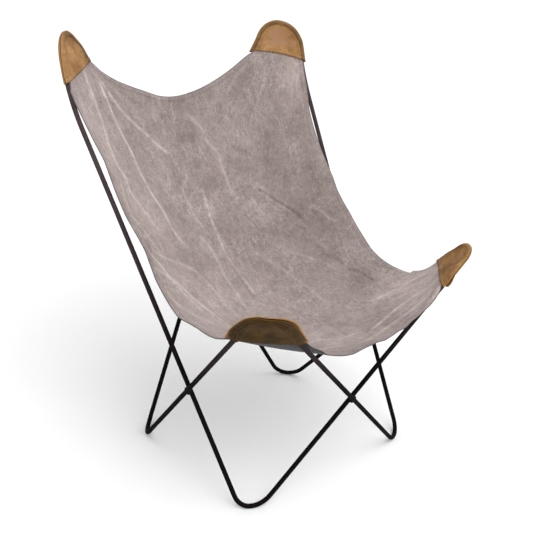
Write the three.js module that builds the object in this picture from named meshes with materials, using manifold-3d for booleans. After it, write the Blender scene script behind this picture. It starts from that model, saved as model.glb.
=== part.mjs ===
import * as THREE from 'three';
import { mergeVertices } from 'three/addons/utils/BufferGeometryUtils.js';
import Module from 'manifold-3d';

const wasm = await Module();
wasm.setup();

// Butterfly sling chair. Millimetres, Z up. Origin on the floor in the middle
// of the whole chair. The chair faces -Y. "left" is the -X side, "right" the +X side.
// Two closed rod loops cross on all four sides and are welded where they cross:
// the inner loop joins the back left and front right corners,
// the outer loop joins the back right and front left corners.

// Rod
const ROD_DIAMETER = 10;
const ROD_RADIUS = ROD_DIAMETER / 2;
const FOOT_FLAT_DEPTH = 0.4;
const FLOOR_CUT_SIDE = 2000;
const WELD_WEB = 0.6;
const SEAT_GAP = 0.3;
const ROD_PITCH = ROD_DIAMETER + 2 * SEAT_GAP + WELD_WEB;

// Highest point of a back bend, rod axis
const BACK_PEAK_X = 317.1;
const BACK_PEAK_Y = 438.7;
const BACK_PEAK_Z = 841.8;
const BACK_PEAK_HALF = 46;
const BACK_PEAK_HALF_MIDDLE = 40;
const BACK_PEAK_TURN = 41.4;

// Highest point of a front bend, rod axis
const FRONT_PEAK_X = 316.1;
const FRONT_PEAK_Y = -215.7;
const FRONT_PEAK_Z = 493;
const FRONT_PEAK_HALF = 23.2;
const FRONT_PEAK_TURN = 46;
const FRONT_PEAK_STAGGER = 6.4;

// Floor point of a front foot and of a back foot, rod axis
const FRONT_FOOT_X = 231.2;
const FRONT_FOOT_Y = -169.6;
const FRONT_FOOT_HALF = 25.3;
const FRONT_FOOT_TURN = 26.4;
const FRONT_FOOT_STAGGER = 4.4;
const BACK_FOOT_X = 225;
const BACK_FOOT_Y = 169.6;
const BACK_FOOT_HALF = 24.3;
const BACK_FOOT_TURN = 45;

// The long legs lean inward a little above a soft knee, which keeps its drop below the back bends
const KNEE_DROP = 112.2;
const KNEE_Z = BACK_PEAK_Z - KNEE_DROP;
const KNEE_BACKWARD = 33.7;
const KNEE_OUTWARD = 14;
const KNEE_FORWARD = 1;
const KNEE_SOFTNESS = 60;

// Weld beads
const WELD_REACH = 9;
const WELD_DEPTH = 6.5;

// Sling
const CANVAS_THICKNESS = 1.6;
const LEATHER_THICKNESS = 1.2;
const BACK_REACH_SIDE = 120;
const BACK_REACH_MIDDLE = 100;
const FRONT_REACH_SIDE = 102;
const FRONT_REACH_MIDDLE = 113;
const MOUTH_LIFT = 7.4;
const MOUTH_MARGIN = 6;
const CANVAS_TUCK = 8;
const CANVAS_TUCK_INSET = 2;
const CANVAS_TUCK_SINK = 0.4;
const CANVAS_FILL = 2420;
const LEFT_EDGE_REAR = [-308.3, 310.3, 682.2];
const LEFT_EDGE_FRONT = [-295.9, 56.1, 256.4];
const RIGHT_EDGE_REAR = [291.4, 320, 644.1];
const RIGHT_EDGE_FRONT = [300, -41, 236];
const BACK_EDGE_SAG = [-23, 428.5, 664.7];
const FRONT_EDGE_SAG = [-121.3, -225.8, 319.6];

// Leather pockets. Section of a panel from the outer seam over the rod to the field:
// distance outward from the rod axis, height over the plane of the bend
const SEAM_HEIGHT = (LEATHER_THICKNESS + SEAT_GAP) / 2;
const CROWN_SECTION = [[6.6, SEAM_HEIGHT], [6, 2.6], [3.8, 5.1], [0, 6.4], [-3.8, 5.1], [-5.8, 3.4]];
const FACE_MOUTH_SECTION = [[9.6, SEAM_HEIGHT], [9, 6.4], [7.6, 9.5], [0, 9.5], [-5, 9.5], [-9, 9.5]];
const BACK_MOUTH_SECTION = [[9.6, SEAM_HEIGHT], [7, 3], [4, 5.2], [0, 6.5], [-4, 5.2], [-6, 3.4]];
const MOUTH_BAND = 24;
const CUFF_START_SHARE = 0.5;
// Extra width of the seam at half way and at the mouth, on the side leg and the middle leg
const SHOULDERS = {
  back_left: [[0, 0], [0, 0]],
  back_right: [[0, 0], [3, 12]],
  front_left: [[13, 8], [20, 4]],
  front_right: [[0, 0], [0, 6]],
};

// Mesh steps
const ROD_SIDES = 16;
const BEND_STEPS = 6;
const KNEE_STEPS = 3;
const CANVAS_ACROSS = 22;
const CANVAS_ALONG = 24;
const MOUTH_STEPS = 3;
const POCKET_LEVELS = 10;
const PANEL_COLUMNS = 4;
const RELAX_ROUNDS = 900;
const RELAX_FACTOR = 1.8;

const V = (x, y, z) => new THREE.Vector3(x, y, z);
const rad = THREE.MathUtils.degToRad;
const smooth = (a, b, x) => THREE.MathUtils.smoothstep(x, a, b);

// One root of a function of one length, by the secant rule
function settle(f, a, b) {
  let fa = f(a);
  let fb = f(b);
  for (let n = 0; n < 12 && Math.abs(fb - fa) > 1e-12; n++) {
    const c = b - fb * (b - a) / (fb - fa);
    a = b;
    fa = fb;
    b = c;
    fb = f(b);
  }
  return b;
}

// Distance between two straight rod axes
function axisDistance(a, b, c, d) {
  const n = b.clone().sub(a).cross(d.clone().sub(c)).normalize();
  return Math.abs(c.clone().sub(a).dot(n));
}

// A bend is a short straight crown, rounded into the two legs it joins.
// side: -1 left, 1 right; end: -1 front, 1 back; layer: -1 inner loop, 1 outer loop
function crown(side, end, layer, x, y, z, turn, half, shift, halfMiddle = half) {
  const c = V(side * (x + layer * ROD_PITCH / 2), y + layer * shift * end, z);
  const d = V(-side * Math.cos(rad(turn)), end * Math.sin(rad(turn)), 0);
  const toSide = c.clone().addScaledVector(d, -half);
  const toMiddle = c.clone().addScaledVector(d, halfMiddle);
  return { c, toSide, toMiddle, half, halfMiddle, side, end, layer };
}

const footZ = ROD_RADIUS - FOOT_FLAT_DEPTH;
function frontPeak(side, layer, shift) {
  const y = FRONT_PEAK_Y + layer * FRONT_PEAK_STAGGER;
  return crown(side, -1, layer, FRONT_PEAK_X, y, FRONT_PEAK_Z,
    FRONT_PEAK_TURN, FRONT_PEAK_HALF, shift);
}
function frontFoot(side, layer, shift) {
  const y = FRONT_FOOT_Y - layer * FRONT_FOOT_STAGGER;
  return crown(side, -1, layer, FRONT_FOOT_X, y, footZ,
    FRONT_FOOT_TURN, FRONT_FOOT_HALF, shift);
}
function backPeak(side, layer, shift) {
  return crown(side, 1, layer, BACK_PEAK_X, BACK_PEAK_Y, BACK_PEAK_Z,
    BACK_PEAK_TURN, BACK_PEAK_HALF, shift, BACK_PEAK_HALF_MIDDLE);
}
function backFoot(side, layer, shift) {
  return crown(side, 1, layer, BACK_FOOT_X, BACK_FOOT_Y, footZ,
    BACK_FOOT_TURN, BACK_FOOT_HALF, shift);
}
// Point of a leg at knee height
function legAt(low, high, z) {
  return low.clone().lerp(high, (z - low.z) / (high.z - low.z));
}
function backKnee(peak, foot) {
  const k = legAt(foot.toMiddle, peak.toMiddle, KNEE_Z);
  k.x += peak.side * KNEE_OUTWARD;
  k.y -= KNEE_FORWARD;
  return k;
}

const startShift = ROD_PITCH / 2;
const frontShift = settle((s) => axisDistance(
  frontPeak(1, -1, s).toMiddle, frontFoot(-1, -1, s).toMiddle,
  frontPeak(-1, 1, s).toMiddle, frontFoot(1, 1, s).toMiddle) - ROD_PITCH,
startShift, startShift * 1.1);
const backShift = settle((s) => {
  const a = backFoot(1, -1, s);
  const b = backFoot(-1, 1, s);
  return axisDistance(backKnee(backPeak(-1, -1, s), a), a.toMiddle,
    backKnee(backPeak(1, 1, s), b), b.toMiddle) - ROD_PITCH;
}, startShift, startShift * 1.1);

function loopCorners(layer) {
  const s = layer;
  return {
    high: backPeak(s, s, backShift),
    frontFoot: frontFoot(s, s, frontShift),
    low: frontPeak(-s, s, frontShift),
    backFoot: backFoot(-s, s, backShift),
  };
}
const inner = loopCorners(-1);
const outer = loopCorners(1);

// The knee of a side leg is set sideways so that the leg passes the other rod at the pitch
function sideKnee(loop, other) {
  const side = loop.high.side;
  const foot = loop.frontFoot.toSide;
  const k = legAt(foot, loop.high.toSide, KNEE_Z);
  k.y += KNEE_BACKWARD;
  const away = (x) => {
    const dir = V(x, k.y, k.z).sub(foot);
    const n = dir.cross(other.low.toSide.clone().sub(other.backFoot.toSide)).normalize();
    if (n.x * side < 0) n.negate();
    return foot.clone().sub(other.backFoot.toSide).dot(n) - loop.high.layer * ROD_PITCH;
  };
  k.x = settle(away, k.x, k.x + side * ROD_RADIUS);
  return k;
}
inner.sideKnee = sideKnee(inner, outer);
outer.sideKnee = sideKnee(outer, inner);
inner.backKnee = backKnee(inner.high, inner.backFoot);
outer.backKnee = backKnee(outer.high, outer.backFoot);

// Rounded closed polygon: points of the rod axis
function roundedLoop(loop) {
  const p = loop;
  const list = [
    [p.high.toMiddle, p.high.halfMiddle, BEND_STEPS], [p.high.toSide, p.high.half, BEND_STEPS],
    [p.sideKnee, KNEE_SOFTNESS, KNEE_STEPS],
    [p.frontFoot.toSide, p.frontFoot.half, BEND_STEPS],
    [p.frontFoot.toMiddle, p.frontFoot.half, BEND_STEPS],
    [p.low.toMiddle, p.low.half, BEND_STEPS], [p.low.toSide, p.low.half, BEND_STEPS],
    [p.backFoot.toSide, p.backFoot.half, BEND_STEPS],
    [p.backFoot.toMiddle, p.backFoot.half, BEND_STEPS],
    [p.backKnee, KNEE_SOFTNESS, KNEE_STEPS],
  ];
  const out = [];
  list.forEach(([v, t, steps], i) => {
    const a = list[(i + list.length - 1) % list.length][0].clone().sub(v).normalize();
    const b = list[(i + 1) % list.length][0].clone().sub(v).normalize();
    const half = a.angleTo(b) / 2;
    const r = t * Math.tan(half);
    const mid = a.clone().add(b).normalize();
    const centre = v.clone().addScaledVector(mid, r / Math.sin(half));
    const across = a.clone().sub(b).normalize();
    const sweep = Math.PI / 2 - half;
    for (let n = 0; n <= steps; n++) {
      const w = sweep * (1 - 2 * n / steps);
      const q = centre.clone().addScaledVector(mid, -r * Math.cos(w));
      q.addScaledVector(across, r * Math.sin(w));
      if (!out.length || out[out.length - 1].distanceTo(q) > SEAT_GAP) out.push(q);
    }
  });
  if (out[0].distanceTo(out[out.length - 1]) < SEAT_GAP) out.pop();
  return out;
}
const innerAxis = roundedLoop(inner);
const outerAxis = roundedLoop(outer);

function geometryOf(points, triangles) {
  const g = new THREE.BufferGeometry();
  g.setAttribute('position', new THREE.Float32BufferAttribute(points.flatMap((p) => p.toArray()), 3));
  g.setIndex(triangles.flat());
  g.computeVertexNormals();
  return g;
}

// Closed round bar along a closed axis
function closedBar(axis, radius) {
  const n = axis.length;
  const tangent = axis.map((p, i) => axis[(i + 1) % n].clone().sub(p).normalize()
    .add(p.clone().sub(axis[(i + n - 1) % n]).normalize()).normalize());
  const side = [V(0, 0, 1).cross(tangent[0]).normalize()];
  for (let i = 1; i <= n; i++) {
    const turn = new THREE.Quaternion().setFromUnitVectors(tangent[i - 1], tangent[i % n]);
    side.push(side[i - 1].clone().applyQuaternion(turn));
  }
  const end = side.pop();
  const twist = Math.atan2(side[0].clone().cross(end).dot(tangent[0]), side[0].dot(end));
  const points = [];
  const triangles = [];
  axis.forEach((p, i) => {
    const x = side[i].clone().applyAxisAngle(tangent[i], -twist * i / n);
    const y = tangent[i].clone().cross(x);
    for (let s = 0; s < ROD_SIDES; s++) {
      const w = 2 * Math.PI * s / ROD_SIDES;
      points.push(p.clone().addScaledVector(x, radius * Math.cos(w))
        .addScaledVector(y, radius * Math.sin(w)));
      const a = i * ROD_SIDES + s;
      const b = i * ROD_SIDES + (s + 1) % ROD_SIDES;
      const c = ((i + 1) % n) * ROD_SIDES;
      const d = c + (s + 1) % ROD_SIDES;
      triangles.push([a, b, d], [a, d, c + s]);
    }
  });
  return geometryOf(points, triangles);
}

function toSolid(geometry) {
  const bare = new THREE.BufferGeometry();
  bare.setAttribute('position', geometry.attributes.position.clone());
  if (geometry.index) bare.setIndex(geometry.index.clone());
  const g = mergeVertices(bare, 1e-5);
  return new wasm.Manifold(new wasm.Mesh({
    numProp: 3,
    vertProperties: new Float32Array(g.attributes.position.array),
    triVerts: new Uint32Array(g.index.array),
  }));
}
function fromSolid(solid) {
  const m = solid.getMesh();
  const g = new THREE.BufferGeometry();
  g.setAttribute('position', new THREE.BufferAttribute(new Float32Array(m.vertProperties), 3));
  g.setIndex(new THREE.BufferAttribute(new Uint32Array(m.triVerts), 1));
  g.computeVertexNormals();
  return g;
}

// Everything below the floor is cut away, which leaves a small flat under each foot
const below = new THREE.BoxGeometry(FLOOR_CUT_SIDE, FLOOR_CUT_SIDE, FLOOR_CUT_SIDE);
below.translate(0, 0, -FLOOR_CUT_SIDE / 2);
const floorBlock = toSolid(below);
const innerRod = toSolid(closedBar(innerAxis, ROD_RADIUS)).subtract(floorBlock);
const outerRod = toSolid(closedBar(outerAxis, ROD_RADIUS)).subtract(floorBlock);
const roundness = Math.cos(Math.PI / ROD_SIDES);
const clearRods = toSolid(closedBar(innerAxis, (ROD_RADIUS + SEAT_GAP) / roundness))
  .add(toSolid(closedBar(outerAxis, (ROD_RADIUS + SEAT_GAP) / roundness)));

// Weld bead between two crossing straight axes a-b and c-d
function weld(a, b, c, d) {
  const u = b.clone().sub(a).normalize();
  const w = d.clone().sub(c).normalize();
  const n = u.clone().cross(w).normalize();
  const k = u.dot(w);
  const r = c.clone().sub(a);
  const t = (r.dot(u) - k * r.dot(w)) / (1 - k * k);
  const foot = a.clone().addScaledVector(u, t);
  const centre = foot.clone().addScaledVector(n, r.dot(n) / 2);
  const bead = new THREE.SphereGeometry(1, 24, 14);
  const x = u.clone().add(w).normalize();
  const y = n.clone().cross(x);
  const place = new THREE.Matrix4().makeBasis(x.multiplyScalar(WELD_REACH),
    y.multiplyScalar(WELD_REACH), n.clone().multiplyScalar(WELD_DEPTH));
  place.setPosition(centre);
  bead.applyMatrix4(place);
  return fromSolid(toSolid(bead).subtract(clearRods));
}

// Frame of a pocket: where the rod leaves it on both legs, and the plane of the bend
function pocketFrame(bend, axis) {
  const n = axis.length;
  let at = 0;
  axis.forEach((p, i) => {
    if (p.distanceTo(bend.c) < axis[at].distanceTo(bend.c)) at = i;
  });
  const walk = (step, reach) => {
    let left = reach;
    let i = at;
    for (;;) {
      const j = (i + step + n) % n;
      const d = axis[i].distanceTo(axis[j]);
      if (d >= left) return axis[i].clone().lerp(axis[j], left / d);
      left -= d;
      i = j;
    }
  };
  const toSide = bend.toSide.clone().sub(bend.toMiddle).normalize();
  const forward = walk(1, bend.half).sub(bend.c).dot(toSide) > 0 ? 1 : -1;
  const point = (s) => (s >= 0 ? walk(forward, s) : walk(-forward, -s));
  const reachSide = bend.end > 0 ? BACK_REACH_SIDE : FRONT_REACH_SIDE;
  const reachMiddle = bend.end > 0 ? BACK_REACH_MIDDLE : FRONT_REACH_MIDDLE;
  const a = point(reachSide);
  const b = point(-reachMiddle);
  const down = a.clone().add(b).multiplyScalar(1 / 2).sub(bend.c).normalize();
  const normal = toSide.clone().cross(down).normalize();
  if (normal.dot(V(-bend.c.x, -bend.c.y, 0)) < 0) normal.negate();
  const outward = (s) => {
    const e = SEAT_GAP;
    const along = point(s + e).sub(point(s - e)).normalize();
    const o = along.cross(normal).normalize();
    const p = point(s).sub(bend.c).addScaledVector(down, -reachSide / 2);
    if (o.dot(p) < 0) o.negate();
    return o;
  };
  const mouth = a.clone().sub(b).normalize();
  return { point, outward, normal, down, mouth, bend, reachSide, reachMiddle };
}
const corners = {
  back_left: pocketFrame(inner.high, innerAxis),
  back_right: pocketFrame(outer.high, outerAxis),
  front_left: pocketFrame(outer.low, outerAxis),
  front_right: pocketFrame(inner.low, innerAxis),
};
// Ends of a pocket mouth line, where the canvas meets the leather: side leg first
function mouthEnd(frame, s) {
  return frame.point(s).addScaledVector(frame.mouth, Math.sign(s) * MOUTH_MARGIN)
    .addScaledVector(frame.normal, MOUTH_LIFT);
}

// Sheet with thickness from a surface of points and triangles
function thickSheet(points, triangles, thickness) {
  const normals = points.map(() => V(0, 0, 0));
  const edges = new Map();
  triangles.forEach((t) => {
    const [a, b, c] = t.map((i) => points[i]);
    const n = b.clone().sub(a).cross(c.clone().sub(a));
    const length = n.length();
    [0, 1, 2].forEach((k) => {
      const p = points[t[k]];
      const e = points[t[(k + 1) % 3]].clone().sub(p);
      const f = points[t[(k + 2) % 3]].clone().sub(p);
      normals[t[k]].addScaledVector(n, e.angleTo(f) / length);
      edges.set(`${t[k]},${t[(k + 1) % 3]}`, [t[k], t[(k + 1) % 3]]);
    });
  });
  const count = points.length;
  const out = [];
  [1, -1].forEach((s) => points.forEach((p, i) => {
    out.push(p.clone().addScaledVector(normals[i].clone().normalize(), s * thickness / 2));
  }));
  const faces = [];
  triangles.forEach(([a, b, c]) => faces.push([a, b, c], [a + count, c + count, b + count]));
  edges.forEach(([a, b]) => {
    if (!edges.has(`${b},${a}`)) faces.push([b, a, a + count], [b, a + count, b + count]);
  });
  return geometryOf(out, faces);
}

// Canvas: free edges are drawn as curves, the field between hangs as a loaded net
function canvasPoints() {
  const nx = CANVAS_ACROSS;
  const ny = CANVAS_ALONG;
  const k = MOUTH_STEPS;
  const grid = Array.from({ length: nx + 1 }, () => Array.from({ length: ny + 1 }, () => null));
  const ends = {};
  Object.entries(corners).forEach(([name, frame]) => {
    const a = mouthEnd(frame, frame.reachSide);
    const b = mouthEnd(frame, -frame.reachMiddle);
    ends[name] = [a, b];
    const cx = name.endsWith('left') ? 0 : nx;
    const cy = name.startsWith('front') ? 0 : ny;
    for (let m = -k; m <= k; m++) {
      const i = m <= 0 ? cx : Math.abs(cx - m);
      const j = m <= 0 ? Math.abs(cy + m) : cy;
      grid[i][j] = a.clone().lerp(b, (m + k) / (2 * k));
    }
  });
  const flip = ([x, y, z]) => V(-x, y, z);
  const edge = (from, c1, c2, to, steps, put) => {
    const curve = new THREE.CubicBezierCurve3(from, c1, c2, to);
    for (let n = 0; n <= steps; n++) put(n, curve.getPoint(n / steps));
  };
  edge(ends.front_left[0], V(...LEFT_EDGE_FRONT), V(...LEFT_EDGE_REAR), ends.back_left[0],
    ny - 2 * k, (n, p) => { grid[0][k + n] = p; });
  edge(ends.front_right[0], V(...RIGHT_EDGE_FRONT), V(...RIGHT_EDGE_REAR), ends.back_right[0],
    ny - 2 * k, (n, p) => { grid[nx][k + n] = p; });
  edge(ends.back_left[1], V(...BACK_EDGE_SAG), flip(BACK_EDGE_SAG), ends.back_right[1],
    nx - 2 * k, (n, p) => { grid[k + n][ny] = p; });
  edge(ends.front_left[1], V(...FRONT_EDGE_SAG), flip(FRONT_EDGE_SAG), ends.front_right[1],
    nx - 2 * k, (n, p) => { grid[k + n][0] = p; });
  for (let i = 1; i < nx; i++) {
    for (let j = 1; j < ny; j++) {
      const p = grid[i][0].clone().lerp(grid[i][ny], j / ny);
      grid[i][j] = p.lerp(grid[0][j].clone().lerp(grid[nx][j], i / nx), 1 / 2);
    }
  }
  for (let round = 0; round < RELAX_ROUNDS; round++) {
    for (let i = 1; i < nx; i++) {
      for (let j = 1; j < ny; j++) {
        const p = grid[i][j];
        const mean = grid[i - 1][j].clone().add(grid[i + 1][j]);
        mean.add(grid[i][j - 1]).add(grid[i][j + 1]).multiplyScalar(1 / 4);
        mean.z -= CANVAS_FILL / (4 * nx * ny);
        p.lerp(mean, RELAX_FACTOR);
      }
    }
  }
  return grid;
}

// Keeps the canvas off the rods: nearest point of an axis, pushed out to the clearance
function pushOff(grid, axis) {
  const clear = ROD_RADIUS + SEAT_GAP + CANVAS_THICKNESS / 2;
  const line = new THREE.Line3();
  const near = V(0, 0, 0);
  grid.forEach((row) => row.forEach((p) => {
    axis.forEach((a, i) => {
      line.set(a, axis[(i + 1) % axis.length]);
      line.closestPointToPoint(p, true, near);
      const gap = p.distanceTo(near);
      if (gap < clear) p.sub(near).multiplyScalar(clear / gap).add(near);
    });
  }));
}

function canvasGeometry() {
  const grid = canvasPoints();
  pushOff(grid, innerAxis);
  pushOff(grid, outerAxis);
  const points = grid.flat();
  const triangles = [];
  const at = (i, j) => i * (CANVAS_ALONG + 1) + j;
  // Tab of each corner, tucked under the leather face
  Object.entries(corners).forEach(([name, frame]) => {
    const cx = name.endsWith('left') ? 0 : CANVAS_ACROSS;
    const cy = name.startsWith('front') ? 0 : CANVAS_ALONG;
    let last = null;
    for (let m = -MOUTH_STEPS; m <= MOUTH_STEPS; m++) {
      const edge = m <= 0 ? at(cx, Math.abs(cy + m)) : at(Math.abs(cx - m), cy);
      const tip = points[edge].clone().addScaledVector(frame.down, -CANVAS_TUCK)
        .addScaledVector(frame.normal, -CANVAS_TUCK_SINK);
      const inset = CANVAS_TUCK_INSET * m / MOUTH_STEPS;
      points.push(tip.addScaledVector(frame.mouth, inset));
      const here = [edge, points.length - 1];
      if (last) {
        const up = (cx === 0) === (cy === 0);
        const [p, q, r, t] = up ? [last[0], last[1], here[1], here[0]] : [here[0], here[1], last[1], last[0]];
        triangles.push([p, q, r], [p, r, t]);
      }
      last = here;
    }
  });
  for (let i = 0; i < CANVAS_ACROSS; i++) {
    for (let j = 0; j < CANVAS_ALONG; j++) {
      const [a, b, c, d] = [at(i, j), at(i + 1, j), at(i + 1, j + 1), at(i, j + 1)];
      const flipped = (i < CANVAS_ACROSS / 2) !== (j < CANVAS_ALONG / 2);
      if (flipped) triangles.push([a, b, d], [b, c, d]);
      else triangles.push([a, b, c], [a, c, d]);
    }
  }
  return thickSheet(points, triangles, CANVAS_THICKNESS);
}

// Leather panel of a pocket. face 1 lies on the seat side, face -1 on the outside.
// Rings run round the bend from one mouth end to the other; each ring goes from the
// outer seam over the rod, and rows of columns close the field between the two legs.
function pocketPanel(frame, face, shoulders) {
  const points = [];
  const triangles = [];
  const levels = POCKET_LEVELS;
  const columns = CROWN_SECTION.length;
  const mouthSection = face > 0 ? FACE_MOUTH_SECTION : BACK_MOUTH_SECTION;
  for (let i = -levels; i <= levels; i++) {
    const full = i < 0 ? frame.reachMiddle : frame.reachSide;
    const last = Math.abs(i) === levels;
    const reach = last ? full : (full - MOUTH_BAND) * Math.abs(i) / (levels - 1);
    const p = frame.point(Math.sign(i) * reach);
    const outward = frame.outward(Math.sign(i) * reach);
    const share = reach / full;
    const across = frame.mouth.clone().multiplyScalar(Math.sign(i) || 1);
    across.divideScalar(across.dot(outward) || 1);
    const o = outward.clone().lerp(across, smooth(1 / 2, 1, share));
    const cuff = smooth(CUFF_START_SHARE, 1, reach / (full - MOUTH_BAND));
    const [half, end] = shoulders[i < 0 ? 1 : 0];
    const bulge = THREE.MathUtils.lerp(half * smooth(0, 1 / 2, share), end, smooth(2 / 3, 1, share));
    CROWN_SECTION.forEach(([x, z], c) => {
      const [mx, mz] = mouthSection[c];
      const far = x + (mx - x) * cuff + (c === 0 ? bulge : 0);
      points.push(p.clone().addScaledVector(o, far)
        .addScaledVector(frame.normal, face * (z + (mz - z) * cuff)));
    });
  }
  const ring = (i, c) => (i + levels) * columns + c;
  for (let i = -levels; i < levels; i++) {
    for (let c = 0; c < columns - 1; c++) {
      triangles.push([ring(i, c), ring(i + 1, c), ring(i + 1, c + 1)]);
      triangles.push([ring(i, c), ring(i + 1, c + 1), ring(i, c + 1)]);
    }
  }
  const rows = [];
  for (let i = levels; i > 0; i--) {
    const a = points[ring(-i, columns - 1)];
    const b = points[ring(i, columns - 1)];
    const row = [ring(-i, columns - 1)];
    for (let c = 1; c < PANEL_COLUMNS; c++) {
      row.push(points.length);
      points.push(a.clone().lerp(b, c / PANEL_COLUMNS));
    }
    row.push(ring(i, columns - 1));
    rows.push(row);
  }
  for (let n = 0; n < rows.length - 1; n++) {
    for (let c = 0; c < PANEL_COLUMNS; c++) {
      const [a, b, d, e] = [rows[n][c], rows[n][c + 1], rows[n + 1][c], rows[n + 1][c + 1]];
      triangles.push([a, d, e], [a, e, b]);
    }
  }
  const top = rows[rows.length - 1];
  for (let c = 0; c < PANEL_COLUMNS; c++) triangles.push([top[c], ring(0, columns - 1), top[c + 1]]);
  return thickSheet(points, triangles, LEATHER_THICKNESS);
}

const group = new THREE.Group();
group.name = 'butterfly_sling_chair';
function add(parent, name, geometry, color, roughness, metalness) {
  const material = new THREE.MeshStandardMaterial({ color, roughness, metalness });
  const mesh = new THREE.Mesh(geometry, material);
  mesh.name = name;
  parent.add(mesh);
}
const IRON = 0x1d1c1e;
const WELD_IRON = 0x232224;
const CANVAS = 0xa89c9b;
const TAN = 0xa27c50;
const TAN_BACK = 0x8a6a45;

const frameGroup = new THREE.Group();
frameGroup.name = 'frame';
group.add(frameGroup);
add(frameGroup, 'frame_loop_inner', fromSolid(innerRod), IRON, 0.5, 0.7);
add(frameGroup, 'frame_loop_outer', fromSolid(outerRod), IRON, 0.5, 0.7);
add(frameGroup, 'weld_front', weld(inner.low.toMiddle, inner.frontFoot.toMiddle,
  outer.low.toMiddle, outer.frontFoot.toMiddle), WELD_IRON, 0.6, 0.7);
add(frameGroup, 'weld_back', weld(inner.backKnee, inner.backFoot.toMiddle,
  outer.backKnee, outer.backFoot.toMiddle), WELD_IRON, 0.6, 0.7);
add(frameGroup, 'weld_left', weld(inner.sideKnee, inner.frontFoot.toSide,
  outer.low.toSide, outer.backFoot.toSide), WELD_IRON, 0.6, 0.7);
add(frameGroup, 'weld_right', weld(outer.sideKnee, outer.frontFoot.toSide,
  inner.low.toSide, inner.backFoot.toSide), WELD_IRON, 0.6, 0.7);

const slingGroup = new THREE.Group();
slingGroup.name = 'sling';
group.add(slingGroup);
add(slingGroup, 'sling_canvas', canvasGeometry(), CANVAS, 0.9, 0);
Object.entries(corners).forEach(([name, frame]) => {
  add(slingGroup, `pocket_face_${name}`, pocketPanel(frame, 1, SHOULDERS[name]), TAN, 0.7, 0);
  add(slingGroup, `pocket_back_${name}`, pocketPanel(frame, -1, SHOULDERS[name]), TAN_BACK, 0.7, 0);
});

// The origin is moved to the middle of the whole chair, on the floor
group.updateMatrixWorld(true);
const whole = new THREE.Box3().setFromObject(group, true);
const middle = whole.getCenter(V(0, 0, 0));
group.position.set(-middle.x, -middle.y, 0);

export default group;
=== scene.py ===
import math

import bpy
import numpy as np
from mathutils import Matrix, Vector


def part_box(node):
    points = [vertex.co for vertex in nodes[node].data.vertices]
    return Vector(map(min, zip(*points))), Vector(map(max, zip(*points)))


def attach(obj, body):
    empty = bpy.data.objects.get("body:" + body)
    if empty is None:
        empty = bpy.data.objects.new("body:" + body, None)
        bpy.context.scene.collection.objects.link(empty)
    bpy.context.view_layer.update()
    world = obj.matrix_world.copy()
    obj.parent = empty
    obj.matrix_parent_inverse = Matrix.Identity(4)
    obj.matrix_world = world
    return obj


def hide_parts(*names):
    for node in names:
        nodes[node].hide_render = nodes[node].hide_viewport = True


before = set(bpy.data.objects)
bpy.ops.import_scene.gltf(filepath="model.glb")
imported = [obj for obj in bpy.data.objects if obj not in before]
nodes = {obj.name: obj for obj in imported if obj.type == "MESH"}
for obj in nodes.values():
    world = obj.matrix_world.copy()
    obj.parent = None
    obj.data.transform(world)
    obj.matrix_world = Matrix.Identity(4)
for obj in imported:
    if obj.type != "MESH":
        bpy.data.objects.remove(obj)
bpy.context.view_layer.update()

# All lengths below are millimetres, as in the part's source, and become metres in to_m().

ROD_RADIUS = 5.0
FOOT_FLAT = 0.4
FOOT_Z = ROD_RADIUS - FOOT_FLAT
PITCH = 11.2
BENDS = {
    "back_peak": dict(end=1, x=317.1, y=438.7, z=841.8, half=46.0, half_mid=40.0, turn=41.4),
    "front_peak": dict(end=-1, x=316.1, y=-215.7, z=493.0, half=23.2, turn=46.0, stagger=6.4),
    "front_foot": dict(end=-1, x=231.2, y=-169.6, z=FOOT_Z, half=25.3, turn=26.4, stagger=-4.4),
    "back_foot": dict(end=1, x=225.0, y=169.6, z=FOOT_Z, half=24.3, turn=45.0),
}
KNEE_Z, KNEE_BACKWARD, KNEE_OUTWARD, KNEE_FORWARD, KNEE_SOFT = 729.6, 33.7, 14.0, 1.0, 60.0
# points in a bend and in a knee, the longest straight step, and the step that counts as none
BEND_STEPS, KNEE_STEPS, LONG_STEP, NO_STEP = 22, 10, 30.0, 0.3
ROD_SIDES = 28
CANVAS_THICK, LEATHER_THICK = 1.6, 1.2
REACH = {"back": (120.0, 100.0), "front": (102.0, 113.0)}
MOUTH_LIFT, MOUTH_MARGIN, TUCK, FILL = 6.6, 3.0, 9.0, 2420.0
# how far each corner of the cloth goes into its pocket at the side leg and at the middle leg
TUCKS = {"back_left": (7, 7), "back_right": (3, 0), "front_left": (5, 3), "front_right": (4, 7)}
LEFT_REAR, LEFT_FRONT = np.array([-308.3, 310.3, 682.2]), np.array([-295.9, 56.1, 256.4])
RIGHT_REAR, RIGHT_FRONT = np.array([291.4, 320.0, 644.1]), np.array([300.0, -41.0, 236.0])
BACK_SAG = np.array([-23.0, 428.5, 664.7])
FRONT_SAG = np.array([-121.3, -225.8, 319.6])
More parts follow.
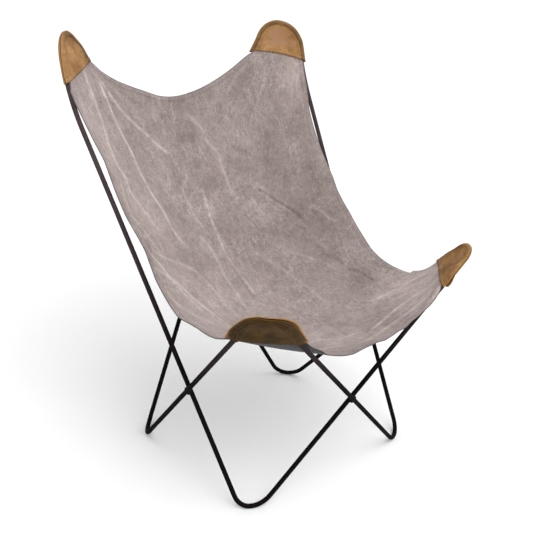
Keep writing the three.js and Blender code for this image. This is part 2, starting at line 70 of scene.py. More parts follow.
# For curve(): how far each leather panel reaches past the plain wrap in mm, along the side leg
# and along the middle leg; and how far its mouth reaches in mm, from the middle to the side leg
PLAIN_RIM = [0, 0, 100, -1]
LIFTED_RIM = [0, 1, 15, 0, 50, -0.4, 67, 1, 100, 10]
RIMS = {
    ("back_left", 1): ([0, 0, 100, 0], [0, 0, 15, 1.5, 30, 3, 45, 2, 60, 0, 100, -1]),
    ("back_left", -1): ([0, -0.4, 70, -0.4, 100, -1], PLAIN_RIM),
    ("back_right", 1): ([0, 0, 60, 0, 100, -1], LIFTED_RIM),
    ("back_right", -1): (PLAIN_RIM, LIFTED_RIM),
    ("front_left", 1): (
        [0, 3, 10, 7.5, 30, 10.8, 50, 13, 70, 13.5, 90, 11, 100, 9],
        [0, 3, 10, 9, 20, 18.5, 30, 22.5, 40, 20.5, 50, 18.5, 60, 15.5, 70, 12.5, 80, 11, 90, 8.5, 100, 5]),
    ("front_left", -1): (
        [0, 1, 10, 5, 25, 8.5, 50, 12, 70, 13, 85, 9, 100, 1],
        [0, 1, 10, 4, 20, 12, 30, 17, 40, 18, 50, 15, 62, 10, 75, 7, 90, 4, 100, 4]),
    ("front_right", 1): (PLAIN_RIM, [0, 0, 62, 0, 72, 1.5, 80, 5, 88, 7.5, 95, 6.5, 100, 4]),
    ("front_right", -1): (
        PLAIN_RIM, [0, 0, 62, 0, 72, 2, 79, 9, 85, 16, 90, 18.5, 94, 16.5, 97, 12, 100, 4]),
}
MOUTHS = {
    ("back_left", 1): [0, -4.5, 50, -4, 100, -5.5],
    ("back_left", -1): [0, -3.5, 100, -3.5],
    ("back_right", 1): [0, 10, 12, 5, 28, 1, 45, -1.6, 60, -3, 80, -3, 100, 0],
    ("back_right", -1): [0, 10, 20, 2, 100, 0],
    ("front_left", 1): [0, 0, 100, 0],
    ("front_left", -1): [0, -2, 30, 3, 70, 2, 100, -4],
    ("front_right", 1): [0, 1, 10, 1, 30, 1.5, 45, -1, 60, -3, 85, -3.5, 100, -1],
    ("front_right", -1): [0, -4, 20, 0, 100, 0],
}


def unit(v):
    return v / np.linalg.norm(v, axis=-1, keepdims=True)


def curve(share, row):
    """Value at a share; row alternates between shares in hundredths and values."""
    return np.interp(share, np.array(row[::2]) / 100, row[1::2])


def smooth(a, b, x):
    t = np.clip((np.asarray(x, float) - a) / (b - a), 0, 1)
    return t * t * (3 - 2 * t)


def settle(f, a, b):
    """Where f is 0, by secants from a and b."""
    fa, fb = f(a), f(b)
    for _ in range(12):
        if abs(fb - fa) < 1e-12:
            break
        c = b - fb * (b - a) / (fb - fa)
        a, fa, b = b, fb, c
        fb = f(b)
    return b


# Frame: the same construction as the CAD source, with finer bends


def bend(kind, side, layer, shift):
    """One bend of a loop: its middle and the points where its two legs begin."""
    p = BENDS[kind]
    t, end = math.radians(p["turn"]), p["end"]
    y = p["y"] + layer * p.get("stagger", 0)
    c = np.array([side * (p["x"] + layer * PITCH / 2), y + layer * shift * end, p["z"]])
    d = np.array([-side * math.cos(t), end * math.sin(t), 0.0])
    half, half_mid = p["half"], p.get("half_mid", p["half"])
    return dict(
        c=c, side_pt=c - d * half, mid_pt=c + d * half_mid, half=half, half_mid=half_mid,
        side=side, layer=layer,
    )


def leg_at(low, high, z):
    return low + (high - low) * (z - low[2]) / (high[2] - low[2])


def back_knee(peak, foot):
    k = leg_at(foot["mid_pt"], peak["mid_pt"], KNEE_Z)
    return k + np.array([peak["side"] * KNEE_OUTWARD, -KNEE_FORWARD, 0])


def apart(a, b, c, d):
    """Distance of the lines a-b and c-d."""
    return abs((c - a) @ unit(np.cross(b - a, d - c)))


def front_gap(s):
    return apart(
        bend("front_peak", 1, -1, s)["mid_pt"], bend("front_foot", -1, -1, s)["mid_pt"],
        bend("front_peak", -1, 1, s)["mid_pt"], bend("front_foot", 1, 1, s)["mid_pt"],
    ) - PITCH


def back_gap(s):
    a, b = bend("back_foot", 1, -1, s), bend("back_foot", -1, 1, s)
    return apart(
        back_knee(bend("back_peak", -1, -1, s), a), a["mid_pt"],
        back_knee(bend("back_peak", 1, 1, s), b), b["mid_pt"],
    ) - PITCH


front_shift = settle(front_gap, PITCH / 2, PITCH * 0.55)
back_shift = settle(back_gap, PITCH / 2, PITCH * 0.55)


def loop_of(s):
    return dict(
        high=bend("back_peak", s, s, back_shift), front_foot=bend("front_foot", s, s, front_shift),
        low=bend("front_peak", -s, s, front_shift), back_foot=bend("back_foot", -s, s, back_shift),
    )


inner, outer = loop_of(-1), loop_of(1)


def side_knee(loop, other):
    side, layer = loop["high"]["side"], loop["high"]["layer"]
    foot = loop["front_foot"]["side_pt"]
    a, b = other["low"]["side_pt"], other["back_foot"]["side_pt"]
    k = leg_at(foot, loop["high"]["side_pt"], KNEE_Z)
    k[1] += KNEE_BACKWARD

    def away(x):
        n = unit(np.cross(np.array([x, k[1], k[2]]) - foot, a - b))
        n = -n if n[0] * side < 0 else n
        return (foot - b) @ n - layer * PITCH

    k[0] = settle(away, k[0], k[0] + side * ROD_RADIUS)
    return k


for one, two in ((inner, outer), (outer, inner)):
    one["side_knee"] = side_knee(one, two)
    one["back_knee"] = back_knee(one["high"], one["back_foot"])


LOOP_ORDER = (
    ("high", "mid"), ("high", "side"), ("side_knee", None), ("front_foot", "side"), ("front_foot", "mid"),
    ("low", "mid"), ("low", "side"), ("back_foot", "side"), ("back_foot", "mid"), ("back_knee", None),
)


def rounded(loop):
    """The axis of a loop as points, with arcs in its bends and knees."""
    turns = []
    for place, end in LOOP_ORDER:
        p = loop[place]
        if end:
            turns.append((p[end + "_pt"], p["half_mid" if end == "mid" else "half"], BEND_STEPS))
        else:
            turns.append((p, KNEE_SOFT, KNEE_STEPS))
    out = []
    for i, (v, t, n) in enumerate(turns):
        a = unit(turns[i - 1][0] - v)
        b = unit(turns[(i + 1) % len(turns)][0] - v)
        half = math.acos(np.clip(a @ b, -1, 1)) / 2
        r = t * math.tan(half)
        mid, across = unit(a + b), unit(a - b)
        centre = v + mid * r / math.sin(half)
        for k in range(n + 1):
            w = (math.pi / 2 - half) * (1 - 2 * k / n)
            q = centre - mid * r * math.cos(w) + across * r * math.sin(w)
            step = np.linalg.norm(out[-1] - q) if out else LONG_STEP
            if step < NO_STEP:
                continue
            if step > LONG_STEP:
                m = int(step // LONG_STEP) + 1
                start = out[-1]
                out += [start + (q - start) * h / m for h in range(1, m)]
            out.append(q)
    if np.linalg.norm(out[0] - out[-1]) < NO_STEP:
        out.pop()
    return np.array(out)


paths = {"inner": rounded(inner), "outer": rounded(outer)}
path_low = np.minimum(paths["inner"].min(0), paths["outer"].min(0)) - ROD_RADIUS
path_high = np.maximum(paths["inner"].max(0), paths["outer"].max(0)) + ROD_RADIUS
lo_a, hi_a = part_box("frame_loop_inner")
lo_b, hi_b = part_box("frame_loop_outer")
cad_low = np.minimum(np.array(lo_a), np.array(lo_b)) * 1000
cad_high = np.maximum(np.array(hi_a), np.array(hi_b)) * 1000
SHIFT = (cad_low + cad_high - path_low - path_high) / 2
SHIFT[2] = 0


def to_m(points):
    return (np.asarray(points, float) + SHIFT) / 1000


# Camera and lamps


def placed(o, x, y, z, at):
    """Links an object, with its own x, y and z axes and its place in metres."""
    bpy.context.scene.collection.objects.link(o)
    o.matrix_world = Matrix([[x[k], y[k], z[k], at[k]] for k in range(3)] + [[0, 0, 0, 1]])
    return o


CAM = np.array([-1360.46, -1121.17, 1221.69])
AZ, EL, ROLL, FOCAL, PX, PY, PIXELS, SENSOR = -48.29, 24.58, 7.82, 902.04, 265.14, 268.7, 540, 36
az, el, roll = (math.radians(v) for v in (AZ, EL, ROLL))
fwd = np.array([-math.sin(az) * math.cos(el), math.cos(az) * math.cos(el), -math.sin(el)])
right = unit(np.cross(fwd, [0, 0, 1]))
up = np.cross(right, fwd)
cam_data = bpy.data.cameras.new("camera")
cam_data.sensor_width = SENSOR
cam_data.lens = FOCAL / PIXELS * SENSOR
cam_data.shift_x = (PIXELS / 2 - PX) / PIXELS
cam_data.shift_y = (PY - PIXELS / 2) / PIXELS
cam_data.clip_end = 100
bpy.context.scene.camera = placed(
    bpy.data.objects.new("camera", cam_data), math.cos(roll) * right + math.sin(roll) * up,
    -math.sin(roll) * right + math.cos(roll) * up, -fwd, to_m(CAM))


def lamp(name, kind, place, aim, power, color, **more):
    """A lamp that looks at aim; more holds its shape and size, or the angle of a sun."""
    data = bpy.data.lights.new(name, kind)
    data.energy, data.color = power, color
    for key, value in more.items():
        setattr(data, key, value)
    d = unit(np.array(aim, float) - np.array(place, float))
    x = unit(np.cross(d, [0, 0, 1]))
    placed(bpy.data.objects.new(name, data), x, np.cross(x, d), -d, place)


lamp("key", "AREA", (-0.9, -2.6, 3.9), (0, 0, 0.4), 56, (1.0, 0.99, 0.98), shape="DISK", size=3.4)
lamp("fill", "AREA", (3.0, -1.6, 4.4), (0, 0, 0.4), 24, (0.99, 0.99, 1.0), shape="DISK", size=3.4)
lamp("soft_sun", "SUN", (0, 0, 5), (0.1, 0.6, 4.0), 0.85, (1.0, 0.99, 0.98), angle=math.radians(110))

# Mesh helpers


def mesh_object(name, points, faces, uv=None, marks=None, shade=True, scale=True):
    me = bpy.data.meshes.new(name)
    co = to_m(points) if scale else points
    me.from_pydata([tuple(p) for p in co], [], [tuple(int(i) for i in f) for f in faces])
    if uv is not None:
        layer = me.uv_layers.new(name="UVMap")
        loops = np.zeros(len(me.loops), np.int32)
        me.loops.foreach_get("vertex_index", loops)
        layer.data.foreach_set("uv", np.asarray(uv, np.float32)[loops].ravel())
    for key, values in (marks or {}).items():
        a = me.attributes.new(key, "FLOAT", "POINT")
        a.data.foreach_set("value", np.asarray(values, np.float32))
    if shade:
        me.polygons.foreach_set("use_smooth", [True] * len(me.polygons))
    me.update()
    o = bpy.data.objects.new(name, me)
    bpy.context.scene.collection.objects.link(o)
    return o


def vertex_normals(points, faces):
    n = np.zeros_like(points)
    f = np.asarray(faces)
    for k in range(f.shape[1]):
        a, b, c = points[f[:, k - 1]], points[f[:, k]], points[f[:, (k + 1) % f.shape[1]]]
        m = np.cross(c - b, a - b)
        for d in range(3):
            n[:, d] += np.bincount(f[:, k], m[:, d], len(points))
    return n / np.maximum(np.linalg.norm(n, axis=1, keepdims=True), 1e-9)


def thick(points, faces, thickness, normals):
    """Both skins and the edge walls of a sheet; faces are rows of point numbers."""
    t = np.broadcast_to(np.asarray(thickness, float), (len(points),))[:, None]
    both = np.concatenate([points + normals * t / 2, points - normals * t / 2])
    n = len(points)
    out = [tuple(q) for q in faces] + [tuple(i + n for i in q[::-1]) for q in faces]
    edges = {}
    for q in faces:
        for k in range(len(q)):
            edges[int(q[k]), int(q[(k + 1) % len(q)])] = True
    return both, out + [(b, a, a + n, b + n) for a, b in edges if (b, a) not in edges]


def tube(path, radius, sides):
    """A tube round a closed path; its rings are carried along without turning."""
    n = len(path)
    tangent = unit(np.roll(path, -1, 0) - np.roll(path, 1, 0))
    axes = [unit(np.cross([0.0, 0.0, 1.0], tangent[0]))]
    for t in tangent[1:]:
        axes.append(unit(axes[-1] - t * (axes[-1] @ t)))
    axes = np.array(axes)
    # the turn that is left after one round is spread over the whole path
    e = unit(axes[-1] - tangent[0] * (axes[-1] @ tangent[0]))
    w = -math.atan2(np.cross(axes[0], e) @ tangent[0], axes[0] @ e) * np.arange(n) / n
    axes = axes * np.cos(w)[:, None] + np.cross(tangent, axes) * np.sin(w)[:, None]
    other = np.cross(tangent, axes)
    a = np.arange(sides) * 2 * math.pi / sides
    ring = axes[:, None] * np.cos(a)[None, :, None] + other[:, None] * np.sin(a)[None, :, None]
    no = np.arange(n * sides).reshape(n, sides)
    beside = np.roll(no, -1, 1)
    faces = np.stack([no, beside, np.roll(beside, -1, 0), np.roll(no, -1, 0)], -1).reshape(-1, 4)
    return (path[:, None] + ring * radius).reshape(-1, 3), faces


# Node helpers

WHITE = (1, 1, 1)


class Nodes:
    """Builds a node tree; a socket takes a number, a tuple or another node's output."""

    def __init__(self, owner):
        owner.use_nodes = True
        self.tree = owner.node_tree
        self.tree.nodes.clear()

    def set(self, socket, value):
        if hasattr(value, "is_output"):
            self.tree.links.new(value, socket)
        elif isinstance(value, tuple) and len(value) == 3 and socket.type == "RGBA":
            socket.default_value = (*value, 1)
        else:
            socket.default_value = value

    def node(self, kind, inputs=None, **settings):
        n = self.tree.nodes.new("ShaderNode" + kind)
        for key, value in settings.items():
            setattr(n, key, value)
        for key, value in (inputs or {}).items():
            self.set(n.inputs[key], value)
        return n

    def noise(self, vector, scale, detail=3, rough=0.5, warp=0.0, out="Fac"):
        return self.node("TexNoise", {
            "Vector": vector, "Scale": scale, "Detail": detail, "Roughness": rough, "Distortion": warp,
        }).outputs[out]

    def cells(self, vector, scale):
        n = self.node("TexVoronoi", {"Vector": vector, "Scale": scale}, feature="DISTANCE_TO_EDGE")
        return n.outputs["Distance"]

    def ramp(self, value, stops):
        r = self.node("ValToRGB", {0: value})
        e = r.color_ramp.elements
        while len(e) < len(stops):
            e.new(0.5)
        for i, (at, c) in enumerate(stops):
            e[i].position = at
            e[i].color = (*c, 1) if isinstance(c, tuple) else (c, c, c, 1)
        return r.outputs[0]

    def math(self, op, a, b=0.0, clamp=False):
        return self.node("Math", {0: a, 1: b}, operation=op, use_clamp=clamp).outputs[0]

    def times(self, a, b):
        return self.math("MULTIPLY", a, b)

    def mix(self, factor, a, b, kind="MIX"):
        return self.node("Mix", {0: factor, 6: a, 7: b}, data_type="RGBA", blend_type=kind).outputs[2]

    def mark(self, name):
        return self.node("Attribute", attribute_name=name).outputs["Fac"]

    def offset(self, vector, by, amount):
        """vector + (by - 0.5) * amount"""
        s = self.node("VectorMath", {0: by, 1: (0.5, 0.5, 0.5)}, operation="SUBTRACT")
        k = self.node("VectorMath", {0: s.outputs[0], "Scale": amount}, operation="SCALE")
        return self.node("VectorMath", {0: vector, 1: k.outputs[0]}, operation="ADD").outputs[0]

    def bump(self, height, strength, distance, normal=None):
        b = self.node("Bump", {"Height": height, "Strength": strength, "Distance": distance})
        if normal is not None:
            self.set(b.inputs["Normal"], normal)
        return b.outputs[0]


class Material(Nodes):
    """A surface; constants are set on the shader's own sockets."""

    def __init__(self, name, constants):
        self.mat = bpy.data.materials.new(name)
        super().__init__(self.mat)
        out = self.node("OutputMaterial")
        self.bsdf = self.node("BsdfPrincipled", constants)
        self.set(out.inputs[0], self.bsdf.outputs[0])
        self.coord = self.node("TexCoord")

    def space(self, kind="Object", scale=(1, 1, 1)):
        return self.node("Mapping", {"Vector": self.coord.outputs[kind], "Scale": scale}).outputs[0]

    def done(self, **sockets):
        for key, value in sockets.items():
            self.set(self.bsdf.inputs[key.replace("_", " ")], value)
        return self.mat


# World: a soft grey-blue light, and plain white where the camera sees it

world = bpy.data.worlds.new("studio")
bpy.context.scene.world = world
w = Nodes(world)
height = w.node("SeparateXYZ", {0: w.node("TexCoord").outputs["Generated"]}).outputs["Z"]
rise = w.node("MapRange", {
    "Value": height, "From Min": 0.0, "From Max": 1.0, "To Min": 0.56, "To Max": 0.74})
soft = w.node("Background", {"Color": (0.96, 0.97, 1), "Strength": rise.outputs["Result"]})
white = w.node("Background", {"Color": WHITE, "Strength": 1})
# all white for the camera, and half white for every other ray
share = w.math("MAXIMUM", w.node("LightPath").outputs["Is Camera Ray"], 0.5)
both = w.node("MixShader", {0: share, 1: soft.outputs[0], 2: white.outputs[0]})
w.node("OutputWorld", {0: both.outputs[0]})

# Materials


def srgb(r, g, b):
    def one(v):
        v /= 255
        return v / 12.92 if v <= 0.04045 else ((v + 0.055) / 1.055) ** 2.4

    return (one(r), one(g), one(b))


def iron_material(name, base, lift):
    """Black iron, with painted light: blackest low down in painted shade, a warmer grey higher up as a
    painted highlight.
    """
    m = Material(name, {"Metallic": 0.0, "Specular IOR Level": 0.03})
    pos = m.space()
    fine, broad = m.noise(pos, 900, 3, 0.6), m.noise(pos, 26, 4, 0.6, 0.4)
    low = m.ramp(broad, [(0.3, base), (0.55, lift), (0.8, base)])
    high = m.ramp(broad, [(0.3, srgb(54, 46, 48)), (0.55, srgb(70, 60, 62)), (0.8, srgb(58, 49, 51))])
    # painted light by height: painted shade low down, a painted highlight higher up
    z = m.node("SeparateXYZ", {0: pos}).outputs[2]
    tone = m.mix(m.ramp(z, [(0.26, 0.0), (0.6, 1.0)]), low, high)
    speck = m.ramp(fine, [(0.62, 0.0), (0.78, 1.0)])
    return m.done(
        Base_Color=m.mix(m.times(speck, 0.25), tone, srgb(44, 40, 44)),
        Roughness=m.ramp(broad, [(0.3, 0.78), (0.75, 0.68)]),
        Normal=m.bump(broad, 0.25, 0.0008, m.bump(fine, 0.35, 0.0003)))


def canvas_material():
    m = Material("canvas_washed", {
        "Roughness": 0.9, "Specular IOR Level": 0.22, "Sheen Weight": 0.12, "Sheen Roughness": 0.5})
    flat, pos = m.space("UV"), m.space()
    slow, quick = m.noise(pos, 9, 3, 0.6, out="Color"), m.noise(pos, 38, 2, 0.5, out="Color")
    cloud = m.noise(m.offset(pos, slow, 0.09), 6.5, 5, 0.62, 0.3)
    patch = m.noise(m.offset(pos, quick, 0.02), 22, 5, 0.65, 0.5)
    mottle = m.noise(m.offset(pos, quick, 0.03), 75, 6, 0.72, 0.6)
    grain, speck = m.noise(pos, 330, 3, 0.7), m.noise(pos, 150, 4, 0.75)
    tone = m.ramp(cloud, [
        (0.3, srgb(146, 132, 127)), (0.5, srgb(159, 145, 140)), (0.7, srgb(171, 157, 152))])
    worn = m.ramp(patch, [(0.3, (0.78, 0.77, 0.78)), (0.5, WHITE), (0.75, (1.06, 1.06, 1.06))])
    tone = m.mix(0.75, tone, worn, "MULTIPLY")
    tone = m.mix(0.3, tone, m.ramp(grain, [(0.3, 0.24), (0.7, 0.76)]), "OVERLAY")
    tone = m.mix(0.36, tone, m.ramp(speck, [(0.3, 0.3), (0.7, 0.7)]), "OVERLAY")

    def scratches(turn, stretch, scale, gate_scale, thin):
        """Fine pale creases left by washing: level lines of a noise that is drawn out one way."""
        bent = m.offset(flat, m.noise(pos, 14, 3, 0.6, out="Color"), 0.05)
        drawn = m.node("Mapping", {
            "Vector": bent, "Rotation": (0, 0, math.radians(turn)), "Scale": (scale, scale / stretch, 1)})
        level = m.noise(drawn.outputs[0], 1.0, 4, 0.6)
        far = m.math("ABSOLUTE", m.math("SUBTRACT", level, 0.5))
        gate = m.ramp(m.noise(pos, gate_scale, 3, 0.6), [(0.45, 0.0), (0.62, 1.0)])
        return m.times(m.ramp(far, [(0.0, 1.0), (thin, 0.0)]), gate)

    web = m.math("ADD", m.times(scratches(32, 4, 40, 10, 0.02), 0.8),
                 m.times(scratches(-24, 5, 52, 15, 0.026), 0.5), True)
    # crackle: edges of wandering cells, broken by a gate
    for size, line, gate_scale, amount in ((26, 0.035, 9, 0.8), (52, 0.05, 14, 0.55)):
        lost = m.offset(pos, m.noise(pos, size * 0.6, 4, 0.7, out="Color"), 1.6 / size)
        cell = m.ramp(m.cells(lost, size), [(0.0, 1.0), (line, 0.0)])
        gate = m.ramp(m.noise(pos, gate_scale, 4, 0.65), [(0.47, 0.0), (0.6, 1.0)])
        web = m.math("ADD", web, m.times(m.times(cell, gate), amount), True)
    # streaks that run out of the four pockets
    ray = m.node("CombineXYZ", {
        0: m.times(m.mark("angle"), 15.0), 1: m.times(m.mark("far"), 5.0), 2: m.mark("pocket")})
    streak = m.noise(m.offset(ray.outputs[0], slow, 0.5), 1.6, 5, 0.62)
    reach = m.ramp(m.mark("far"), [(0.06, 1.0), (0.2, 0.55), (0.42, 0.0)])
    streak_pale = m.times(m.ramp(streak, [(0.5, 0.0), (0.6, 0.8), (0.7, 1.0)]), reach)
    streak_dark = m.times(m.ramp(streak, [(0.34, 1.0), (0.46, 0.0)]), reach)
    worn = m.ramp(mottle, [(0.32, (0.8, 0.8, 0.81)), (0.5, WHITE), (0.68, (1.14, 1.13, 1.13))])
    tone = m.mix(1.0, tone, worn, "MULTIPLY")
    tone = m.mix(m.times(streak_pale, 0.34), tone, srgb(196, 183, 179))
    tone = m.mix(m.times(streak_dark, 0.22), tone, srgb(112, 99, 96))
    # painted light and shade from the fade mark, over a share of the cloth's colour
    fade = m.node("CombineXYZ", {k: m.mark("fade") for k in range(3)})
    tone = m.mix(1.0, tone, fade.outputs[0], "MULTIPLY")
    broken = m.ramp(m.noise(m.offset(pos, quick, 0.02), 95, 5, 0.7), [(0.36, 0.45), (0.5, 1.0)])
    pale = m.math("ADD", m.times(web, 0.42), m.times(m.mark("crease"), broken), True)
    tone = m.mix(m.times(pale, 0.9), tone, srgb(208, 196, 192))
    # painted shade in the hollows of the folds
    tone = m.mix(m.times(m.mark("dark"), 0.75), tone, srgb(92, 78, 76))
    tone = m.mix(m.times(m.mark("edge"), 0.75), tone, srgb(88, 80, 82))
    # painted shade: the under side of the cloth darkened, most at the belly
    shaded = m.mix(m.mark("belly"), srgb(206, 202, 212), srgb(74, 68, 80))
    tone = m.mix(m.mark("under"), tone, shaded, "MULTIPLY")
    # plain weave, about 0.9 mm a thread
    weave = [m.node("TexWave", {"Vector": flat, "Scale": 175, "Distortion": 0.8, "Detail": 1},
                    bands_direction=way).outputs["Fac"] for way in "XY"]
    n = m.bump(m.times(*weave), 0.3, 0.0004)
    n = m.bump(grain, 0.25, 0.0005, n)
    n = m.bump(web, 0.35, 0.0012, n)
    n = m.bump(streak_pale, 0.4, 0.0025, n)
    return m.done(Base_Color=tone, Normal=m.bump(patch, 0.35, 0.004, n))


def leather_material(name, mid, dark, pale, burnish_and_shade, worn, shine):
    m = Material(name, {"Specular IOR Level": shine})
    pos = m.space()
    bent = m.offset(pos, m.noise(pos, 30, 3, 0.6, out="Color"), 0.03)
    cloud = m.noise(bent, 24, 5, 0.62, 0.6)
    smear = m.noise(m.space(scale=(0.5, 1.0, 2.2)), 60, 4, 0.6, 0.8)
    pores = m.cells(m.offset(pos, m.noise(pos, 400, 2, 0.5, out="Color"), 0.0012), 900)
    grain = m.noise(pos, 1400, 2, 0.6)
    groove = m.ramp(pores, [(0.0, 0.0), (0.12, 1.0)])
    tone = m.ramp(cloud, [(0.35, dark), (0.5, mid), (0.66, pale)])
    tone = m.mix(0.6, tone, m.ramp(smear, [(0.32, (0.7, 0.66, 0.62)), (0.55, WHITE)]), "MULTIPLY")
    tone = m.mix(0.35, tone, m.ramp(groove, [(0.0, (0.75, 0.72, 0.7)), (1.0, WHITE)]), "MULTIPLY")
    # painted sheen: a pinker tone in the middle of a panel, in blotches
    blotch = m.ramp(m.noise(bent, 16, 3, 0.6, 0.4), [(0.42, 0.25), (0.55, 1.0)])
    tone = m.mix(m.times(m.mark("painted_sheen"), blotch), tone, srgb(149, 112, 84))
    # dark burnish, partly painted shade on the slope over the rod and at the mouth
    worn_off = m.ramp(m.noise(pos, 75, 4, 0.65, 0.5), [(0.32, 0.62), (0.6, 1.0)])
    tone = m.mix(m.times(m.mark("burnish_and_shade"), worn_off), tone, burnish_and_shade)
    n = m.bump(grain, 0.25, 0.0003, m.bump(groove, 0.3, 0.0004))
    # pale worn edges and folds, partly a painted highlight
    return m.done(
        Base_Color=m.mix(m.mark("rub"), tone, worn), Roughness=m.ramp(smear, [(0.3, 0.68), (0.7, 0.56)]),
        Normal=m.bump(smear, 0.2, 0.002, n))


def thread_material(name, color):
    m = Material(name, {"Roughness": 0.8})
    twist = m.noise(m.space(), 2600, 2, 0.6)
    tone = m.ramp(twist, [(0.3, tuple(v * 0.7 for v in color)), (0.7, color)])
    return m.done(Base_Color=tone, Normal=m.bump(twist, 0.4, 0.0003))


iron = iron_material("iron_black", srgb(9, 6, 8), srgb(18, 14, 16))
weld_iron = iron_material("iron_weld", srgb(12, 9, 11), srgb(24, 19, 21))
canvas_mat = canvas_material()
pale_tan = srgb(172, 132, 87)
leather_face = leather_material(
    "leather_tan", srgb(149, 109, 62), srgb(122, 84, 43), pale_tan, srgb(66, 44, 27), pale_tan, 0.18)
# the same leather in painted shade, for the back panel at the front left
leather_shaded = leather_material(
    "leather_shaded", srgb(66, 47, 19), srgb(51, 37, 14), srgb(80, 58, 27), srgb(38, 27, 15),
    srgb(150, 108, 60), 0.06)
leather_back = leather_material(
    "leather_outer", srgb(142, 103, 58), srgb(116, 80, 42), srgb(164, 124, 79), srgb(62, 42, 25),
    pale_tan, 0.15)
thread_canvas = thread_material("thread_grey", srgb(150, 139, 137))
thread_tan = thread_material("thread_tan", srgb(158, 122, 78))
# the tan thread in painted shade, for that same panel
thread_shaded = thread_material("thread_tan_shaded", srgb(84, 62, 34))

# Rods and welds

for key in ("inner", "outer"):
    pts, faces = tube(paths[key], ROD_RADIUS, ROD_SIDES)
    pts[:, 2] = np.maximum(pts[:, 2], 0)
    rod = mesh_object(f"rod_loop_{key}", pts, faces)
    rod.data.materials.append(iron)
    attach(rod, "root")
    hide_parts(f"frame_loop_{key}")
for name, o in nodes.items():
    if name.startswith("weld"):
        o.material_slots[0].material = weld_iron


# Pocket frames, as in the source

RAIL_STEPS = 40000


class Rail:
    """The closed axis of a loop, by the length run along it."""

    def __init__(self, path):
        self.closed = np.vstack([path, path[:1]])
        self.s = np.concatenate([[0], np.cumsum(np.linalg.norm(np.diff(self.closed, axis=0), axis=1))])

    def at(self, s):
        s = np.mod(np.asarray(s, float), self.s[-1])
        return np.stack([np.interp(s, self.s, self.closed[:, k]) for k in range(3)], -1)

    def where(self, q):
        fine = np.linspace(0, self.s[-1], RAIL_STEPS + 1)
        return fine[np.argmin(np.linalg.norm(self.at(fine) - q, axis=1))]


class Corner:
    """One pocket's place: point(s) runs down the side leg for s above 0, else the middle leg."""

    def __init__(self, name, bend, path):
        self.name, self.bend, self.rail = name, bend, Rail(path)
        self.s0 = self.rail.where(bend["c"])
        to_side = unit(bend["side_pt"] - bend["mid_pt"])
        ahead = self.rail.at(self.s0 + bend["half"]) - bend["c"]
        self.sign = 1 if ahead @ to_side > 0 else -1
        self.reach_side, self.reach_mid = REACH[name.split("_")[0]]
        a, b = self.point(self.reach_side), self.point(-self.reach_mid)
        self.down = unit((a + b) / 2 - bend["c"])
        n = unit(np.cross(to_side, self.down))
        self.normal = -n if n @ np.array([-bend["c"][0], -bend["c"][1], 0]) < 0 else n
        self.mouth = unit(a - b)

    def point(self, s):
        return self.rail.at(self.s0 + self.sign * np.asarray(s, float))

    def outward(self, s):
        along = unit(self.point(np.asarray(s) + 0.3) - self.point(np.asarray(s) - 0.3))
        o = unit(np.cross(along, self.normal))
        p = self.point(s) - self.bend["c"] - self.down * self.reach_side / 2
        return np.where((o * p).sum(-1, keepdims=True) < 0, -o, o)

    def end(self, s, tuck=0.0):
        s = s - np.sign(s) * tuck
        return self.point(s) + self.mouth * np.sign(s) * MOUTH_MARGIN + self.normal * MOUTH_LIFT


corners = {name: Corner(name, loop[place], paths[key]) for name, key, loop, place in (
    ("back_left", "inner", inner, "high"), ("back_right", "outer", outer, "high"),
    ("front_left", "outer", outer, "low"), ("front_right", "inner", inner, "low"),
)}

# Canvas


def bezier(a, b, c, d, n):
    t = np.linspace(0, 1, n + 1)[:, None]
    return a * (1 - t) ** 3 + 3 * b * t * (1 - t) ** 2 + 3 * c * t * t * (1 - t) + d * t ** 3


def mirror(p):
    return p * np.array([-1, 1, 1])


# Ripples of the free edges, for curve(): millimetres outward along the edge
WAVES = {
    "left": [0, 0, 8, 0, 17, -3.2, 21, 0.6, 25, 8.5, 29, 7.6, 33, 6.1, 38, 4.3, 42, -0.2, 46, -4, 50,
        -2.4, 56, 2.4, 62, 2.4, 71, -0.6, 77, 4, 83, 6.8, 90, 8.6, 96, 8, 100, 3],
    "right": [0, -1, 6, -2, 12, -3.4, 17, -2.1, 21, -3.3, 25, -6.2, 29, -8.8, 33, -9.9, 38, -6.8, 42,
        -5.3, 46, -3.6, 54, -4.6, 58, -0.5, 66, -2, 72, -1.7, 79, 0.2, 83, 4, 88, 6.5, 92, 4.5, 96, 3,
        100, 1],
    "back": [0, 0, 4, -3.6, 8, -5.6, 12, -6.3, 17, -5, 25, -3.3, 29, -3.4, 35, -5.3, 42, -5, 50, -3.2, 58,
        -1.2, 70, -0.7, 83, -0.2, 88, 0.7, 92, 2.2, 96, 3, 100, 1],
    "front": [0, -2, 4, -3.5, 8, -2, 17, -3, 21, 1.9, 25, 2.7, 33, 4.1, 38, 4.2, 42, 1.2, 46, -1.2, 54,
        -1.4, 58, 2.5, 67, 2, 71, 5.4, 75, 3.4, 83, 5.6, 88, 7.9, 92, 7.9, 96, 6, 100, 2],
}


def rippled(line, name):
    """Moves an edge line out by its ripples, square to the line as the camera sees it."""
    t = np.linspace(0, 1, len(line))
    w = curve(t, WAVES[name])
    for _ in range(3):
        w[1:-1] = (w[:-2] + 2 * w[1:-1] + w[2:]) / 4
    ray = unit(line - CAM)
    d = unit(np.cross(ray, np.gradient(line, axis=0)))
    middle = np.array([0.0, 80.0, 420.0])
    away = line - middle
    away = away - ray * (away * ray).sum(1, keepdims=True)
    d = np.where((d * away).sum(1, keepdims=True) < 0, -d, d)
    return line + d * w[:, None]


def tucked(line, first, last):
    """Pulls both ends of an edge line in to the points inside the pockets."""
    t = np.linspace(0, 1, len(line))[:, None]
    return line + (first - line[0]) * (1 - smooth(0, 0.05, t)) + (last - line[-1]) * smooth(0.95, 1, t)


